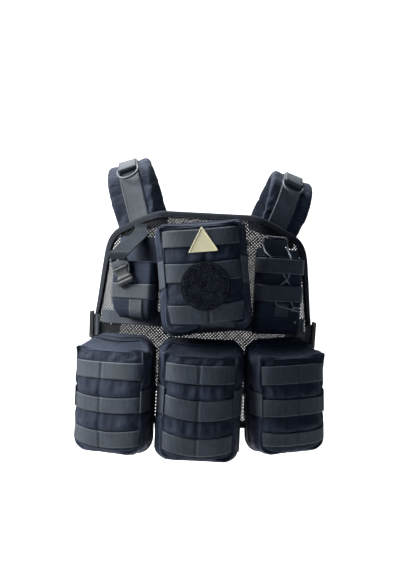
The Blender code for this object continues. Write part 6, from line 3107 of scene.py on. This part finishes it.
@dataclass
class Studio:
    """Camera, light and a plain pale floor with a backdrop."""

    focal_pixels: float = 777.0
    frame_height: float = 570.0
    camera_at: Spot = (0.0, -1.5, -0.208)
    roll: float = 3.0
    centre_shift: float = 4.8
    floor: float = -1.25
    sky: str = "#bdd4fa"
    sky_strength: float = 0.16

    def camera(self) -> None:
        """The camera at the photograph's viewing angle."""
        data = bpy.data.cameras.new("camera")
        data.sensor_width = 36.0
        data.lens = self.focal_pixels / self.frame_height * data.sensor_width
        data.shift_x = -self.centre_shift / self.frame_height
        made = placed("camera", data)
        tilt = math.radians(self.roll)
        x = Vector((math.cos(tilt), 0.0, math.sin(tilt)))
        y = Vector((-math.sin(tilt), 0.0, math.cos(tilt)))
        turn = Matrix((x, y, x.cross(y))).transposed()
        made.matrix_world = Matrix.Translation(self.camera_at) @ turn.to_4x4()
        bpy.context.scene.camera = made

    def lamp(self, name: str, place: Spot, aim: Spot, size: float, power: float) -> None:
        """A square soft light.

        Args:
            name: The lamp's name.
            place: Where it stands.
            aim: The point that it faces.
            size: The length of its sides.
            power: Its power in watts.
        """
        data = bpy.data.lights.new(name, "AREA")
        data.energy = power
        data.size = size
        made = placed(name, data)
        made.location = place
        way = Vector(aim) - Vector(place)
        made.rotation_euler = way.to_track_quat("-Z", "Y").to_euler()

    def sweep(self) -> None:
        """The pale floor that rises into a backdrop."""
        rows = []
        draft = Draft()
        profile = [(-0.9, self.floor), (1.0, self.floor)]
        for k in range(1, 13):
            turn = math.pi / 2 * k / 12
            profile.append((1.0 + 1.0 * math.sin(turn), self.floor + 1.0 - math.cos(turn)))
        profile.append((2.0, 4.0))
        for y, z in profile:
            rows.append(draft.row([Vector((-5.0, y, z)), Vector((5.0, y, z))]))
        for low, high in zip(rows, rows[1:]):
            draft.strip(low, high, [(0.0, 0.0)] * 2, [(1.0, 1.0)] * 2)
        draft.keep("studio_sweep", STUDIO_WHITE)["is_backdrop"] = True

    def build(self) -> None:
        """Make the studio."""
        self.camera()
        self.sweep()
        chest, wall = (0.0, 0.0, -0.25), (0.0, 2.0, 0.9)
        # The key comes from the wearer's right, as the photograph's shadows show.
        self.lamp("key", (-1.85, -0.55, 0.58), chest, size=1.1, power=96.0)
        self.lamp("top", (-0.6, 0.05, 1.8), chest, size=0.9, power=110.0)
        self.lamp("backdrop", (0.0, 0.9, 1.5), wall, size=1.2, power=14.0)
        world = bpy.data.worlds.new("studio")
        world.use_nodes = True
        light = world.node_tree.nodes["Background"]
        light.inputs["Color"].default_value = linear(self.sky)
        light.inputs["Strength"].default_value = self.sky_strength
        bpy.context.scene.world = world
        bpy.context.scene.view_settings.view_transform = "Standard"


FRONT_EDGE = edge_rows(
    (-0.455, 0.198), (-0.430, 0.209), (-0.280, 0.213),
    (-0.245, 0.204), (-0.200, 0.197), (-0.150, 0.189),
    (-0.132, 0.183), (-0.116, 0.170),
)
FRONT_TOP = edge_rows((-0.0815, 0.0), (-0.0815, 0.084), (-0.0915, 0.115), (-0.1160, 0.170))
BACK_EDGE = edge_rows(
    (-0.430, 0.180), (-0.412, 0.190), (-0.332, 0.195),
    (-0.252, 0.186), (-0.172, 0.161), (-0.100, 0.157),
    (-0.085, 0.160),
)
BACK_TOP = edge_rows((-0.062, 0.0), (-0.062, 0.080), (-0.085, 0.160))
SEAT_OVER_ROW = 2.7 * MM
SEAT_OVER_BINDING = 2.1 * MM
POUCHES = (
    LargePouch(
        "upper_pouch", along=-0.003, z=-0.1895, roll=7.3, face_width=0.127, face_height=0.163,
        base_width=0.154, base_height=0.191, base_drop=-0.005, depth=0.066, puff=0.004,
        face_round=0.010, base_round=0.014, seat=SEAT_OVER_ROW,
        bands=((-0.0795, -0.0485), (-0.0105, 0.0210), (0.0480, 0.0785)),
        side_band=(-0.0180, 0.0260), middle_seam=0.08, seed=1.0, sags=(0.003, 0.003, 0.002),
        edge_fall=8.0 * MM, droop=6.0 * MM, bulge=3.4 * MM, tab_columns=(-0.2, 0.75),
        slider_at=0.048,
    ),
    LargePouch(
        "lower_pouch_middle", along=0.0005, z=-0.4115, roll=0.0, face_width=0.114,
        face_height=0.171, base_width=0.142, base_height=0.209, base_drop=0.003, depth=0.070,
        puff=0.006, face_round=0.012, base_round=0.022, seat=SEAT_OVER_BINDING,
        bands=((-0.0730, -0.0440), (-0.0150, 0.0180), (0.0410, 0.0717)),
        side_band=(-0.0150, 0.0290), middle_seam=-0.02, seed=2.0, sags=(0.009, 0.008, 0.003),
    ),
    LargePouch(
        "lower_pouch_right", along=-0.1395, z=-0.4115, roll=1.0, face_width=0.124,
        face_height=0.171, base_width=0.128, base_height=0.205, base_drop=0.005, depth=0.066,
        puff=0.004, face_round=0.020, base_round=0.032, seat=SEAT_OVER_BINDING,
        bands=((-0.0729, -0.0460), (-0.0162, 0.0091), (0.0371, 0.0652)),
        side_band=(-0.0162, 0.0190), face_shift=0.0065, middle_seam=-0.14, seed=3.0,
        sags=(0.007, 0.005, 0.001),
    ),
    LargePouch(
        "lower_pouch_left", along=0.1415, z=-0.4015, roll=4.0, face_width=0.116,
        face_height=0.159, base_width=0.128, base_height=0.196, base_drop=0.007, depth=0.066,
        puff=0.004, face_round=0.016, base_round=0.030, seat=SEAT_OVER_BINDING,
        bands=((-0.0677, -0.0450), (-0.0185, 0.0102), (0.0350, 0.0660)),
        side_band=(-0.0185, 0.0190), face_shift=-0.0020, middle_seam=0.05, seed=4.0,
        sags=(0.003, 0.001, 0.0),
    ),
)


def corners(box: tuple[Vector, Vector]) -> list[list[float]]:
    """The two corners of a box as plain lists."""
    return [[float(x) for x in corner] for corner in box]


def main() -> None:
    """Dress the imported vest, piece by piece."""
    logging.basicConfig(level=logging.INFO, format="%(name)s %(message)s")
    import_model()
    before = corners(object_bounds())
    Studio().build()
    NetPanel(
        "front_panel", "front_binding", TORSO.front, FRONT_EDGE, FRONT_TOP, 2.7 * MM,
        cover=11.0 * MM,
    ).build()
    NetPanel(
        "back_panel", "back_binding", TORSO.back, BACK_EDGE, BACK_TOP, 0.8 * MM, 0.5 * MM,
        pitch=2.5 * MM
    ).build()
    WaistRow().build()
    # The wearer's left shoulder hangs a little lower.
    Shoulder("left", lift=-0.0065).build()
    Shoulder("right", lift=0.0045).build()
    for pouch in POUCHES:
        pouch.build()
    UpperTrim(POUCHES[0]).build()
    RadioPouch().build()
    MagazinePouch().build()
    for side in SIGN:
        SideStrap(side).build()
    {"before": before, "after": corners(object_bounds())}


if __name__ == "__main__":
    main()
